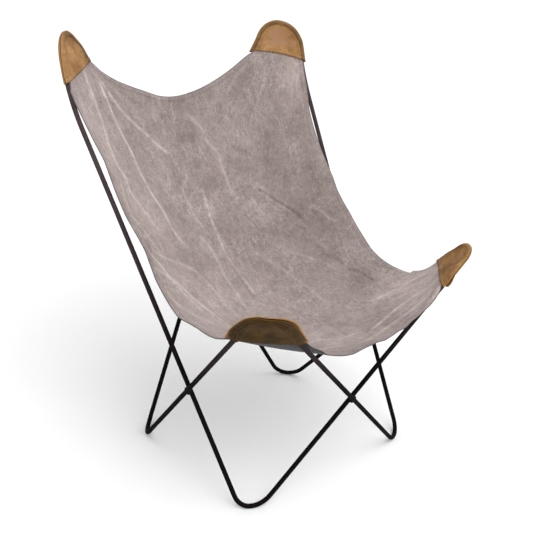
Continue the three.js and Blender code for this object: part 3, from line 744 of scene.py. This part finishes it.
def hung_net(nx, ny, k, start, rounds, load):
    """The relaxed net: a coarse one with plain edges, or with start a fine one with its ripples."""
    first = start is None

    def leg_end(name, leg, tuck=0.0):
        c = corners[name]
        return c.end(-c.reach_mid if leg else c.reach_side, tuck)

    g = np.zeros((nx + 1, ny + 1, 3))
    deep, wide = slice(k, ny - k + 1), slice(k, nx - k + 1)
    for edge, cells, one, two, leg, b, c in (
        ("left", (0, deep), "front_left", "back_left", 0, LEFT_FRONT, LEFT_REAR),
        ("right", (nx, deep), "front_right", "back_right", 0, RIGHT_FRONT, RIGHT_REAR),
        ("back", (wide, ny), "back_left", "back_right", 1, BACK_SAG, mirror(BACK_SAG)),
        ("front", (wide, 0), "front_left", "front_right", 1, FRONT_SAG, mirror(FRONT_SAG)),
    ):
        line = bezier(leg_end(one, leg), b, c, leg_end(two, leg), (nx if leg else ny) - 2 * k)
        if not first:
            ends = [leg_end(name, leg, TUCKS[name][leg]) for name in (one, two)]
            line = tucked(rippled(line, edge), *ends)
        g[cells] = line
    for name, corner in corners.items():
        cx = 0 if name.endswith("left") else nx
        cy = 0 if name.startswith("front") else ny
        a, b = g[cx, abs(cy - k)], g[abs(cx - k), cy]
        for m in range(-k, k + 1):
            i = cx if m <= 0 else abs(cx - m)
            j = abs(cy + m) if m <= 0 else cy
            t = (m + k) / (2 * k)
            sunk = 0 if first else TUCK * smooth(0, 0.2, t) * (1 - smooth(0.8, 1, t))
            g[i, j] = a + (b - a) * t - corner.down * sunk
    body = start
    if first:
        u = np.linspace(0, 1, nx + 1)[:, None, None]
        v = np.linspace(0, 1, ny + 1)[None, :, None]
        body = ((g[:, :1] * (1 - v) + g[:, -1:] * v) + (g[:1] * (1 - u) + g[-1:] * u)) / 2
    inside = (slice(1, -1), slice(1, -1))
    g[inside] = body[inside]
    drop = np.array([0, 0, load / 4])
    odd = (np.add.outer(np.arange(nx + 1), np.arange(ny + 1)) % 2 == 1)[1:-1, 1:-1, None]
    over = OVER_COARSE if first else OVER_FINE
    for _ in range(rounds):
        for turn in (odd, ~odd):
            mean = (g[:-2, 1:-1] + g[2:, 1:-1] + g[1:-1, :-2] + g[1:-1, 2:]) / 4 - drop
            g[inside] = np.where(turn, g[inside] + over * (mean - g[inside]), g[inside])
    return g


def finer(g, f, both=True):
    """Cubic refinement of a grid of points, f new steps for each old one."""
    def along(a):
        n = a.shape[0]
        t = np.arange((n - 1) * f + 1) / f
        i = np.minimum(t.astype(int), n - 2)
        w = (t - i).reshape(-1, *([1] * (a.ndim - 1)))
        pad = np.concatenate([[2 * a[0] - a[1]], a, [2 * a[-1] - a[-2]]])
        p0, p1, p2, p3 = pad[i], pad[i + 1], pad[i + 2], pad[i + 3]
        return 0.5 * (2 * p1 + (p2 - p0) * w + (2 * p0 - 5 * p1 + 4 * p2 - p3) * w ** 2
                      + (3 * p1 - p0 - 3 * p2 + p3) * w ** 3)

    return np.swapaxes(along(np.swapaxes(along(g), 0, 1)), 0, 1) if both else along(g)


# meshes of the net across, along and cut off at a corner, and how much finer the cloth is
NX, NY, K = 22, 24, 3
FINE = 12
# rounds of relaxation and their over-relaxation, for the coarse and for the fine net
ROUNDS_COARSE, ROUNDS_FINE = 260, 120
OVER_COARSE, OVER_FINE = 1.93, 1.6
coarse = hung_net(NX, NY, K, None, ROUNDS_COARSE, FILL / (NX * NY))
nx, ny, kk = NX * FINE, NY * FINE, K * FINE
net = hung_net(nx, ny, kk, finer(coarse, FINE), ROUNDS_FINE, FILL / (nx * ny))


def nearest(points, line):
    """For every point: its distance to a line, and the share and the place on it."""
    best, share, place = np.full(len(points), 1e9), np.zeros(len(points)), np.zeros_like(points)
    seg = np.linalg.norm(np.diff(line, axis=0), axis=1)
    run = 0.0
    for q, r, n in zip(line[:-1], line[1:], seg):
        d = r - q
        t = np.clip(((points - q) @ d) / max(d @ d, 1e-9), 0, 1)
        c = q + t[:, None] * d
        dist = np.linalg.norm(points - c, axis=1)
        hit = dist < best
        best[hit], place[hit] = dist[hit], c[hit]
        share[hit] = ((run + t * n) / seg.sum())[hit]
        run += n
    return best, share, place


def push_off(points, path, clear):
    """Moves points that are nearer than clear to the rod axis out to that distance."""
    dist, _, place = nearest(points, np.vstack([path, path[:1]]))
    low = dist < clear
    points[low] = place[low] + (points[low] - place[low]) * (clear / dist[low])[:, None]


at = np.arange((nx + 1) * (ny + 1)).reshape(nx + 1, ny + 1)
quads = np.stack([at[:-1, :-1], at[1:, :-1], at[1:, 1:], at[:-1, 1:]], -1).reshape(-1, 4)
flat_net = net.reshape(-1, 3).copy()
flat_normal = vertex_normals(flat_net, quads)
# the flat sheet in metres, from the mean size of a mesh
flat_x, flat_y = (
    np.linspace(0, 1, n + 1) * n * np.linalg.norm(np.diff(net, axis=k), axis=2).mean()
    for k, n in enumerate((nx, ny)))
sheet_uv = np.stack(np.meshgrid(flat_x, flat_y, indexing="ij"), -1).reshape(-1, 2) / 1000

# distance of every point to the nearest free edge; of many edge points every third is enough
EDGE_STEP, MANY = 3, 60
deep, wide = slice(kk, ny - kk + 1), slice(kk, nx - kk + 1)
edge_far = np.min([
    nearest(flat_net, line[::EDGE_STEP] if len(line) > MANY else line)[0]
    for line in (net[0, deep], net[nx, deep], net[wide, 0], net[wide, ny])
], axis=0)

# Creases and folds, placed as in the photo: half width and height in mm, paleness, darkness (painted shade
# in the hollow of a fold), then thousandths across (0 left, 1000 right) and along (0 front, 1000 back)
# for each point
CREASES = [
    (6, 1.6, 0.8, 0, [48, 996, 77, 917, 89, 854, 86, 794, 80, 725, 98, 696, 91, 654, 120, 633, 143, 608,
     180, 585]),
    (7, 2.2, 1.0, 0, [132, 985, 143, 946, 152, 898, 166, 858, 184, 819, 191, 769, 207, 719, 230, 679, 236,
     629, 257, 598, 305, 575]),
    (6, 1.8, 0.75, 0, [139, 981, 168, 956, 202, 927, 250, 906, 293, 892, 332, 873, 384, 854, 418, 842]),
    (6, 1.2, 0.45, 0, [66, 681, 43, 621, 36, 571, 61, 548, 82, 527, 111, 498]),
    (4, 0.9, 0.5, 0, [498, 967, 536, 940, 561, 917, 568, 883, 595, 852, 595, 819, 593, 779, 591, 733, 595,
     708]),
    (4, 0.8, 0.45, 0, [420, 844, 416, 806, 377, 773, 375, 738, 380, 706, 393, 673, 391, 638]),
    (4, 0.8, 0.65, 0, [473, 783, 457, 723, 452, 688, 450, 654, 445, 612, 441, 577]),
    (4, -1.6, 0, 0.65, [441, 577, 441, 533, 441, 488, 436, 440, 434, 408]),
    (3, 0.8, 0.6, 0, [443, 583, 445, 529, 450, 481, 455, 433]),
    (7, 1.8, 0.9, 0, [18, 477, 57, 462, 70, 442, 107, 421, 125, 396, 145, 373, 170, 340, 186, 304]),
    (5, 1.2, 0.65, 0, [9, 440, 61, 438, 84, 419, 102, 394, 116, 365, 134, 325]),
    (4, 0.8, 0.5, 0, [359, 646, 382, 606, 384, 560, 375, 502, 373, 448, 361, 388, 355, 348]),
    (4, 0.7, 0.5, 0, [43, 508, 86, 500, 164, 512, 232, 510, 268, 469, 277, 410, 275, 354]),
    (5, 0.9, 0.55, 0, [16, 390, 34, 352, 70, 319, 109, 300, 136, 271]),
    (3.8, -3.0, 0, 1.0, [700, 722, 723, 696, 764, 644, 793, 608, 814, 571, 830, 550]),
    (2.5, 0.7, 0.35, 0, [711, 723, 727, 685, 768, 635, 795, 596]),
    (9, -1.2, 0, 0.8, [864, 565, 886, 535]),
    (3, 0.9, 0.45, 0, [857, 579, 895, 542, 916, 506, 941, 479]),
    (3, 0.5, 0.4, 0, [716, 883, 702, 850]),
    (3, 0.5, 0.3, 0, [691, 752, 716, 717, 732, 690]),
    (22, -3.0, 0, 0.38, [975, 838, 966, 769, 948, 727, 934, 662, 914, 625, 907, 581, 927, 535]),
    (16, 2.0, 0.22, 0, [984, 929, 966, 865, 973, 785, 984, 696, 982, 623, 984, 567]),
    (14, -2.5, 0, 0.45, [864, 975, 820, 967, 775, 956, 711, 938]),
    (8, 1.0, 0.2, 0, [891, 965, 873, 927, 823, 906]),
    (14, -1.5, 0, 0.2, [250, 965, 355, 971, 475, 979, 568, 983]),
    (9, -1, 0, 0.6, [366, 948, 411, 958, 448, 965]),
    (16, -1.5, 0, 0.55, [427, 900, 498, 906, 532, 896]),
    (24, -1.5, 0, 0.4, [466, 762, 525, 777, 545, 760]),
    (10, -1, 0, 0.5, [673, 846, 705, 819, 725, 802]),
    (22, -1, 0, 0.35, [620, 821, 657, 800, 668, 769]),
    (5, 0.8, 0.3, 0, [661, 565, 716, 510, 761, 467, 800, 421, 830, 352]),
    (6, 0.9, 0.3, 0, [557, 573, 609, 527, 652, 448, 675, 369, 670, 275]),
    (6, -1.4, 0, 0.6, [809, 460, 845, 412, 859, 377]),
    (5, 1.4, 0.9, 0, [952, 2, 875, 48, 827, 83, 768, 98, 680, 96, 591, 85]),
    (5, 1.1, 0.8, 0, [991, 40, 943, 148, 886, 177, 827, 196, 768, 215]),
    (5, 1.1, 0.7, 0, [873, 25, 773, 40, 668, 54, 561, 50, 489, 60]),
    (6, -1.4, 0, 0.35, [1000, 69, 950, 112, 911, 154, 882, 190, 866, 238]),
    (6, -1.6, 0, 0.9, [848, 371, 882, 329, 884, 262]),
    (5, 0.8, 0.4, 0, [357, 152, 464, 169, 527, 133, 614, 115]),
    (4, 0.8, 0.5, 0, [348, 100, 432, 98, 495, 73]),
    (6, 0.8, 0.2, 0, [364, 421, 445, 398, 523, 338, 548, 238]),
]
# new points for each old one along a crease, and the millimetres around it that are looked at
CREASE_STEPS, CREASE_ROOM = 4, 90
# a hollow lies beside each ridge: its width and depth as shares of the ridge's
HOLLOW_WIDTH, HOLLOW_DEPTH = 3.2, 0.35
lift, pale, dark = (np.zeros(len(flat_net)) for _ in range(3))


def net_at(x, y):
    i, j = np.clip(x * nx, 0, nx - 0.001), np.clip(y * ny, 0, ny - 0.001)
    a, b = i.astype(int), j.astype(int)
    s, t = (i - a)[:, None], (j - b)[:, None]
    near, back = net[a, b] * (1 - s) + net[a + 1, b] * s, net[a, b + 1] * (1 - s) + net[a + 1, b + 1] * s
    return near * (1 - t) + back * t


def hill(x, width):
    return np.exp(-((x / width) ** 2))


for width, height, light, shade, spots in CREASES:
    shares = np.array(spots, float).reshape(-1, 1, 2) / 1000
    way = finer(shares, CREASE_STEPS, False)[:, 0]
    line = net_at(way[:, 0], way[:, 1])
    middle = line.mean(0)
    room = np.linalg.norm(line - middle, axis=1).max() + CREASE_ROOM
    near = np.linalg.norm(flat_net - middle, axis=1) < room
    d, s, _ = nearest(flat_net[near], line)
    rise, fall = ((0, 0.3), (0.7, 1)) if len(shares) < 3 else ((0, 0.08), (0.82, 1))
    fade = smooth(*rise, s) * (1 - smooth(*fall, s))
    unsteady = 0.72 + 0.28 * np.sin(s * 41 + width * 7 + len(shares)) * np.sin(s * 17 + height * 3)
    ridge = hill(d, width) * fade
    lift[near] += height * (ridge - HOLLOW_DEPTH * hill(d, width * HOLLOW_WIDTH) * fade)
    soft_line = (0.75 * hill(d, 2.4) + 0.25 * hill(d, 7)) * fade
    pale[near] = np.maximum(pale[near], light * soft_line * unsteady)
    # painted shade along the hollow of each fold
    dark[near] = np.maximum(dark[near], shade * ridge * unsteady)

# the cloth stays this far from the axis of a bar: a gap and its own upper part
CLEAR = ROD_RADIUS + 0.6 + CANVAS_THICK * 0.6
points = flat_net + flat_normal * lift[:, None]
for path in paths.values():
    push_off(points, path, CLEAR)
hem = 1 - smooth(9.5, 11.5, edge_far)
thickness = CANVAS_THICK * (0.75 + 0.45 * hem)
both, faces = thick(points, quads, thickness, vertex_normals(points, quads))
edge_mark = (1 - smooth(0.2, 3.2, edge_far)) * 0.8 + hill(edge_far - 11.2, 1.4) * 0.35
# direction and distance, in the flat sheet, from the nearest pocket
APEX_OUT = 0.03
wide, long_ = sheet_uv.max(0)
apex = np.array([(x, y) for y in (-APEX_OUT, long_ + APEX_OUT) for x in (-APEX_OUT, wide + APEX_OUT)])
ways = sheet_uv[:, None] - apex[None]
fars = np.linalg.norm(ways, axis=2)
pocket_no = fars.argmin(1)
way = ways[np.arange(len(points)), pocket_no]
x, y, z = to_m(points).T
# fade: a share of the cloth's colour, with painted light, a little lighter higher up and lighter at the
# front right
fade = 0.812 + 0.03 * smooth(0.42, 0.62, z)
fade += 0.42 * smooth(0.1, 0.28, x) * smooth(0.1, 0.22, -y)
# places that are lighter or darker, seen from above, partly the cloth's own uneven tone and partly
# painted light and shade: centre x and y, half widths, amount
TONE_AND_PAINTED_LIGHT = [
    (0.2, 0.26, 0.15, 0.2, -0.13), (0.13, 0.04, 0.12, 0.14, -0.13), (0.25, -0.08, 0.07, 0.08, -0.08),
    (0.255, -0.16, 0.08, 0.055, -0.18), (0.215, 0.02, 0.06, 0.06, -0.14), (-0.09, 0.28, 0.13, 0.06, -0.16),
    (0.05, 0.3, 0.08, 0.05, -0.06), (-0.07, 0.19, 0.06, 0.04, -0.18), (-0.25, 0.1, 0.06, 0.1, 0.22),
    (-0.2, -0.04, 0.06, 0.07, 0.2), (-0.3, 0.2, 0.04, 0.08, 0.12), (0.31, 0.24, 0.035, 0.05, 0.27),
    (0.23, 0.3, 0.04, 0.04, -0.08), (-0.01, -0.26, 0.07, 0.04, 0.22),
]
for cx, cy, rx, ry, amount in TONE_AND_PAINTED_LIGHT:
    fade += amount * hill(x - cx, rx) * hill(y - cy, ry)
# painted shade: darker on the left, higher up
fade -= 0.08 * smooth(0.08, 0.25, -x) * smooth(0.34, 0.45, z)
# painted shade on the under side, darkest low down at the front
belly = (1 - smooth(0.44, 0.56, z)) * (1 - smooth(0.04, 0.26, y))
marks = {key: np.tile(values, 2) for key, values in (
    ("angle", np.arctan2(way[:, 1], way[:, 0])), ("far", fars.min(1)), ("pocket", pocket_no * 7.3),
    ("fade", fade), ("crease", pale), ("dark", dark), ("edge", edge_mark), ("belly", belly),
)}
marks["under"] = np.repeat([0.0, 1.0], len(points))
sling = mesh_object("sling_cloth", both, faces, np.tile(sheet_uv, (2, 1)), marks)
sling.data.materials.append(canvas_mat)
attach(sling, "root")
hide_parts("sling_canvas")
# the two diagonals of every mesh of the cloth, in mm; each tab reaches 60 mm into its pocket
one, two = (points[quads[:, k + 2]] - points[quads[:, k]] for k in (0, 1))

# Leather pockets: (mm out from the axis of the bar, mm off it) from the outer edge to the flat

CROWN_SECTION = [(6.5, 0.75), (5.9, 2.7), (3.9, 4.9), (0, 6.1), (-3.8, 5.0), (-5.8, 3.4)]
FACE_MOUTH = [(9.2, 0.75), (8.4, 4.9), (5.6, 7.7), (0, 8.3), (-4, 8.2), (-7, 8.1)]
BACK_MOUTH = [(9.2, 0.75), (7, 3), (4, 5.1), (0, 6.2), (-4, 5.1), (-6, 3.4)]
MOUTH_BAND = 24.0
# half the rings along the bend, steps between two points of a section, cells across the panel
LEVELS, PER, ACROSS = 44, 4, 30
# rings crowd to the crown by this power; a mouth's wave fades out over the first mm, and a mouth
# is wider than the distance of its two legs by the second
CROWD, WAVE_ROOM, MOUTH_ROOM = 1.15, 42, 18
# the stitches run three rings in from the mouth and three points in from the outer edge
SEAM_ROWS = 3


def smooth_section(section):
    return finer(np.array(section, float)[:, None], PER, False)[:, 0]


def pocket(corner, face):
    """One panel: its points, quads, the triangles at the crown, and what each point lies on."""
    crown_sec = smooth_section(CROWN_SECTION)
    mouth_sec = smooth_section(FACE_MOUTH if face > 0 else BACK_MOUTH)
    columns = len(crown_sec)
    rings, reaches, outs = [], [], []
    key = (corner.name, face)
    mouth = MOUTHS[key]
    span = np.linalg.norm(corner.point(corner.reach_side) - corner.point(-corner.reach_mid)) + MOUTH_ROOM
    for i in range(-LEVELS, LEVELS + 1):
        full = corner.reach_mid + mouth[1] if i < 0 else corner.reach_side + mouth[-1]
        reach = full * (1 - (1 - abs(i) / LEVELS) ** CROWD)
        share = reach / full
        sg = 1 if i >= 0 else -1
        p = corner.point(sg * reach)
        out = corner.outward(sg * reach)
        cross = corner.mouth * sg
        cross = cross / (cross @ out)
        o = out + (cross - out) * smooth(0.5, 1, share)
        cuff = smooth(0.5, 1, reach / (full - MOUTH_BAND))
        bulge = curve(share, RIMS[key][0 if i >= 0 else 1])
        sec = crown_sec + (mouth_sec - crown_sec) * cuff
        x = sec[:, 0] + bulge * np.clip(1 - np.arange(columns) / PER, 0, 1)
        z = sec[:, 1]
        lip = smooth(full - 9.5, full - 8.3, reach) * 0.9 if face > 0 else 0
        near = 1 - smooth(0, WAVE_ROOM, full - reach)
        t = (x[0] - x) / span
        wave = curve(t if i < 0 else 1 - t, mouth) - mouth[1 if i < 0 else -1]
        ring_ = p + o[None] * x[:, None] + corner.normal[None] * (face * (z + lip))[:, None]
        rings.append(ring_ + corner.down * (wave * near)[:, None])
        reaches.append(np.full(columns, full - reach))
        outs.append(np.concatenate([[0], np.cumsum(np.hypot(np.diff(x), np.diff(z)))]))
    rings = np.array(rings)
    pts = [rings.reshape(-1, 3)]
    inward = [np.concatenate(outs)]
    leg = [np.repeat(np.arange(-LEVELS, LEVELS + 1) / LEVELS, columns)]
    from_mouth = [np.concatenate(reaches)]

    def ring(i, c):
        return (i + LEVELS) * columns + c

    faces = [
        (ring(i, c), ring(i + 1, c), ring(i + 1, c + 1), ring(i, c + 1))
        for i in range(-LEVELS, LEVELS) for c in range(columns - 1)]
    # the flat of the panel: a row from leg to leg for each pair of rings
    n = len(pts[0])
    rows = []
    full = (corner.reach_mid + corner.reach_side) / 2
    edge_t = (x[0] - x[-1]) / span
    ends = curve([edge_t, 1 - edge_t], mouth)
    t = np.linspace(0, 1, ACROSS + 1)[1:-1]
    wave = curve(edge_t + t * (1 - 2 * edge_t), mouth) - ends[0] - (ends[1] - ends[0]) * t
    for i in range(LEVELS, 0, -1):
        a, b = rings[LEVELS - i, -1], rings[LEVELS + i, -1]
        s = i / LEVELS
        back = full * (1 - s) ** CROWD
        dish = 1.6 * np.sin(np.pi * t) * smooth(0, 0.4, s) * (1 - smooth(0.6, 0.85, s))
        row = a + (b - a) * t[:, None] - corner.normal * face * dish[:, None]
        pts.append(row + corner.down * (wave * (1 - smooth(0, WAVE_ROOM, back)))[:, None])
        inward.append(outs[LEVELS + i][-1] + np.minimum(t, 1 - t) * np.linalg.norm(b - a))
        leg.append(s * (2 * t - 1))
        from_mouth.append(np.full(len(t), back))
        rows.append([ring(-i, columns - 1), *range(n, n + len(t)), ring(i, columns - 1)])
        n += len(t)
    for r0, r1 in zip(rows[:-1], rows[1:]):
        faces += [(r0[c], r1[c], r1[c + 1], r0[c + 1]) for c in range(ACROSS)]
    last, tip = rows[-1], ring(0, columns - 1)
    tris = [(last[c], tip, last[c + 1]) for c in range(ACROSS)]
    low = LEVELS - SEAM_ROWS
    return np.concatenate(pts), faces, tris, dict(
        inward=np.concatenate(inward), leg=np.concatenate(leg), from_mouth=np.concatenate(from_mouth),
        mouth_row=[ring(-low, c) for c in range(4, columns - 1)] + rows[SEAM_ROWS]
        + [ring(low, c) for c in range(4, columns - 1)][::-1],
        seam=[ring(i, SEAM_ROWS) for i in range(-LEVELS + 1, LEVELS)])


# Burnished band, for curve(), from -100 at the middle leg's mouth over 0 at the crown to 100 at the
# side leg's: its darkness, partly burnish and partly painted shade on the slope over the rod, and where
# the flat begins in mm from the edge; then the pale edge's width and the fold's paleness, partly wear
# and partly a painted highlight
BANDS = {
    ("back_left", 1): (
        [-100, 0.8, -10, 0.85, 20, 0.5, 40, 0.1, 100, 0],
        [-100, 25, -50, 22, -10, 18, 10, 15.5, 40, 12.5, 100, 12.5], 3.2, 0.5),
    ("back_left", -1): ([-100, 0.2, 100, 0.2], [-100, 15, 100, 15], 2.2, 0.5),
    ("back_right", 1): (
        [-100, 0.8, 0, 0.75, 100, 0.85], [-100, 18.5, -30, 16, 30, 16, 100, 18.5], 2.2, 0.55),
    ("back_right", -1): ([-100, 0.2, 100, 0.2], [-100, 15, 100, 15], 2.2, 0.5),
    ("front_left", 1): ([-100, 0.5, 100, 0.5], [-100, 15, 100, 15], 2.2, 0.5),
    ("front_left", -1): ([-100, 0.4, -50, 0.2, 50, 0.2, 100, 0.5], [-100, 17, 100, 17], 2.2, 0.1),
    ("front_right", 1): (
        [-100, 0.1, -10, 0.3, 20, 0.35, 100, 0.55], [-100, 16, 0, 15, 100, 19], 2.4, 0.5),
    ("front_right", -1): (
        [-100, 0.5, -70, 0.5, -50, 0.2, 100, 0.2], [-100, 22, -60, 15, 100, 15], 1.2, 0.4),
}
# Share of painted sheen, a pinker tone in the middle of a panel
PAINTED_SHEEN = {
    ("back_right", 1): 0.85, ("back_left", 1): 0.1, ("front_right", 1): 0.1, ("back_left", -1): 0.2}


def stitch_row(line, normals, pitch, length, radius, lift_):
    """Short threads along a line of points, each sinking at both ends; 4 sides, 5 rings."""
    step = np.linalg.norm(np.diff(line, axis=0), axis=1)
    run = np.concatenate([[0], np.cumsum(step)])
    starts = np.arange(pitch, run[-1] - pitch - length, pitch)
    shares = np.array([0, 0.14, 0.5, 0.86, 1])
    rise = np.array([-0.9, 0.35, 0.75, 0.35, -0.9]) * radius
    size = np.array([0.5, 0.95, 1.1, 0.95, 0.5]) * radius
    where = starts[:, None] + shares[None] * length
    spots, nor = (np.stack([np.interp(where, run, v[:, k]) for k in range(3)], -1) for v in (line, normals))
    nor = unit(nor)
    side = unit(np.cross(nor, unit(spots[:, -1:] - spots[:, :1])))
    mid = spots + nor * (lift_ + rise)[None, :, None]
    corners_ = [math.pi / 4 + a * math.pi / 2 for a in range(4)]
    pts = np.stack([
        mid + (side * math.cos(w) + nor * math.sin(w)) * size[None, :, None] for w in corners_], 2)
    faces = []
    for o in range(0, len(starts) * 20, 20):
        for r in range(o, o + 16, 4):
            for a in range(4):
                b = (a + 1) % 4
                faces.append((r + a, r + b, r + 4 + b, r + 4 + a))
        faces.append((o + 3, o + 2, o + 1, o))
        faces.append((o + 16, o + 17, o + 18, o + 19))
    return pts.reshape(-1, 3), faces


def joined(rows, total=0):
    """Stitch rows as one list of points and of faces; total points stand before them."""
    pts, faces = [], []
    for q, q_faces in rows:
        pts.append(q)
        faces += [tuple(i + total for i in f) for f in q_faces]
        total += len(q)
    return np.concatenate(pts), faces


def solid_panel(name, corner, face):
    """A panel with thickness, marks and stitches; kind is 1 for the faces of the threads."""
    pts, quads_, tris, lies = pocket(corner, face)
    normals = unit(vertex_normals(pts, tris) + vertex_normals(pts, quads_) + 1e-9)
    both, leather = thick(pts, [*quads_, *tris], LEATHER_THICK, normals)
    # a pale worn edge, a dark burnished band over the rod, a pale fold beside it, then the flat; the band
    # and the dark lines at the mouth are partly painted shade, the pale edge and fold partly painted
    # highlight
    e, leg, from_mouth = lies["inward"], lies["leg"], lies["from_mouth"]
    band, folds, edge, glow = BANDS[(corner.name, face)]
    fold = curve(leg, folds)
    away = smooth(5, 14, from_mouth)
    body = 0.55 * smooth(edge - 0.6, edge + 1.4, e) + 0.45 * smooth(edge + 2, fold - 3, e)
    dark = body * (1 - smooth(fold - 3.0, fold - 1.4, e)) * curve(leg, band)
    # painted shade: dark lines at the mouth and along the fold of its lip
    lip = hill(from_mouth - 9.9, 0.9) * 0.6 + hill(from_mouth, 1.6) * 0.85
    tip = (1 - smooth(edge * 0.3, edge + 0.4, e)) * 0.6
    ledge = hill(from_mouth - 8.0, 0.9) * 0.55
    if face < 0 and corner.name == "front_left":
        tip, ledge = tip * 0.4, ledge * 0.25
    # marks: burnish with painted shade, wear with painted highlight, and painted sheen
    painted = {
        "burnish_and_shade": np.clip(dark + hill(e - fold - 1.2, 1.0) * 0.5 * away + lip, 0, 0.92),
        "rub": np.clip(hill(e - fold + 0.6, 1.0) * away * glow + tip + ledge, 0, 0.8),
        "painted_sheen": smooth(16, 34, e) * smooth(12, 40, from_mouth) * PAINTED_SHEEN.get((corner.name, face), 0),
    }
    sign = 1 if (normals @ corner.normal).mean() * face > 0 else -1
    threads, thread_faces = joined([
        stitch_row(pts[lies[key]], normals[lies[key]] * sign, 4.6, 3.2, 0.36, LEATHER_THICK / 2)
        for key in ("seam", "mouth_row")], len(both))
    spare = np.zeros(len(threads))
    o = mesh_object(
        name, np.concatenate([both, threads]), leather + thread_faces, None,
        {key: np.concatenate([v, v, spare]) for key, v in painted.items()})
    return o, np.repeat([0, 1], [len(leather), len(thread_faces)]).astype(np.int32)


for cname, corner in corners.items():
    for face, kind, mat, slot in (
        (1, "face", leather_face, "leather_face"), (-1, "back", leather_back, "leather_back"),
    ):
        o, threads = solid_panel(f"leather_{kind}_{cname}", corner, face)
        # painted shade: the back panel at the front left gets the shaded copies of the leather and the
        # thread
        shady = (cname, face) == ("front_left", -1)
        o.data.materials.append(leather_shaded if shady else mat)
        o.data.materials.append(thread_shaded if shady else thread_tan)
        o.data.polygons.foreach_set("material_index", threads)
        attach(o, "root")
        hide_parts(f"pocket_{kind}_{cname}")

# hem: a row of stitches round the free edges, on both sides of the cloth
grid = points.reshape(nx + 1, ny + 1, 3)
grid_n = vertex_normals(points, quads).reshape(nx + 1, ny + 1, 3)
HEM_INSET, HEM_START = 3, 4
ends_x, ends_y = (slice(kk + HEM_START, n - kk - HEM_START + 1) for n in (nx, ny))
hem_lines = (
    (HEM_INSET, ends_y), (nx - HEM_INSET, ends_y), (ends_x, HEM_INSET), (ends_x, ny - HEM_INSET))
hem_thread = mesh_object("hem_stitches", *joined([
    stitch_row(grid[cells], grid_n[cells] * side, 4.4, 3.0, 0.34, CANVAS_THICK * 0.6)
    for cells in hem_lines for side in (1, -1)]))
hem_thread.data.materials.append(thread_canvas)
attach(hem_thread, "root")

# Floor

FLOOR_HALF = 30
m = Material("floor_white", {"Roughness": 0.9})
m.done(Base_Color=m.ramp(m.noise(m.space(), 3, 2), [(0.3, 0.965), (0.7, 0.985)]))
floor = mesh_object(
    "floor", [(x * FLOOR_HALF, y * FLOOR_HALF, 0) for x, y in ((-1, -1), (1, -1), (1, 1), (-1, 1))],
    [(0, 1, 2, 3)], shade=False, scale=False)
floor.data.materials.append(m.mat)

bpy.context.scene.view_settings.view_transform = "Standard"
bpy.context.view_layer.update()
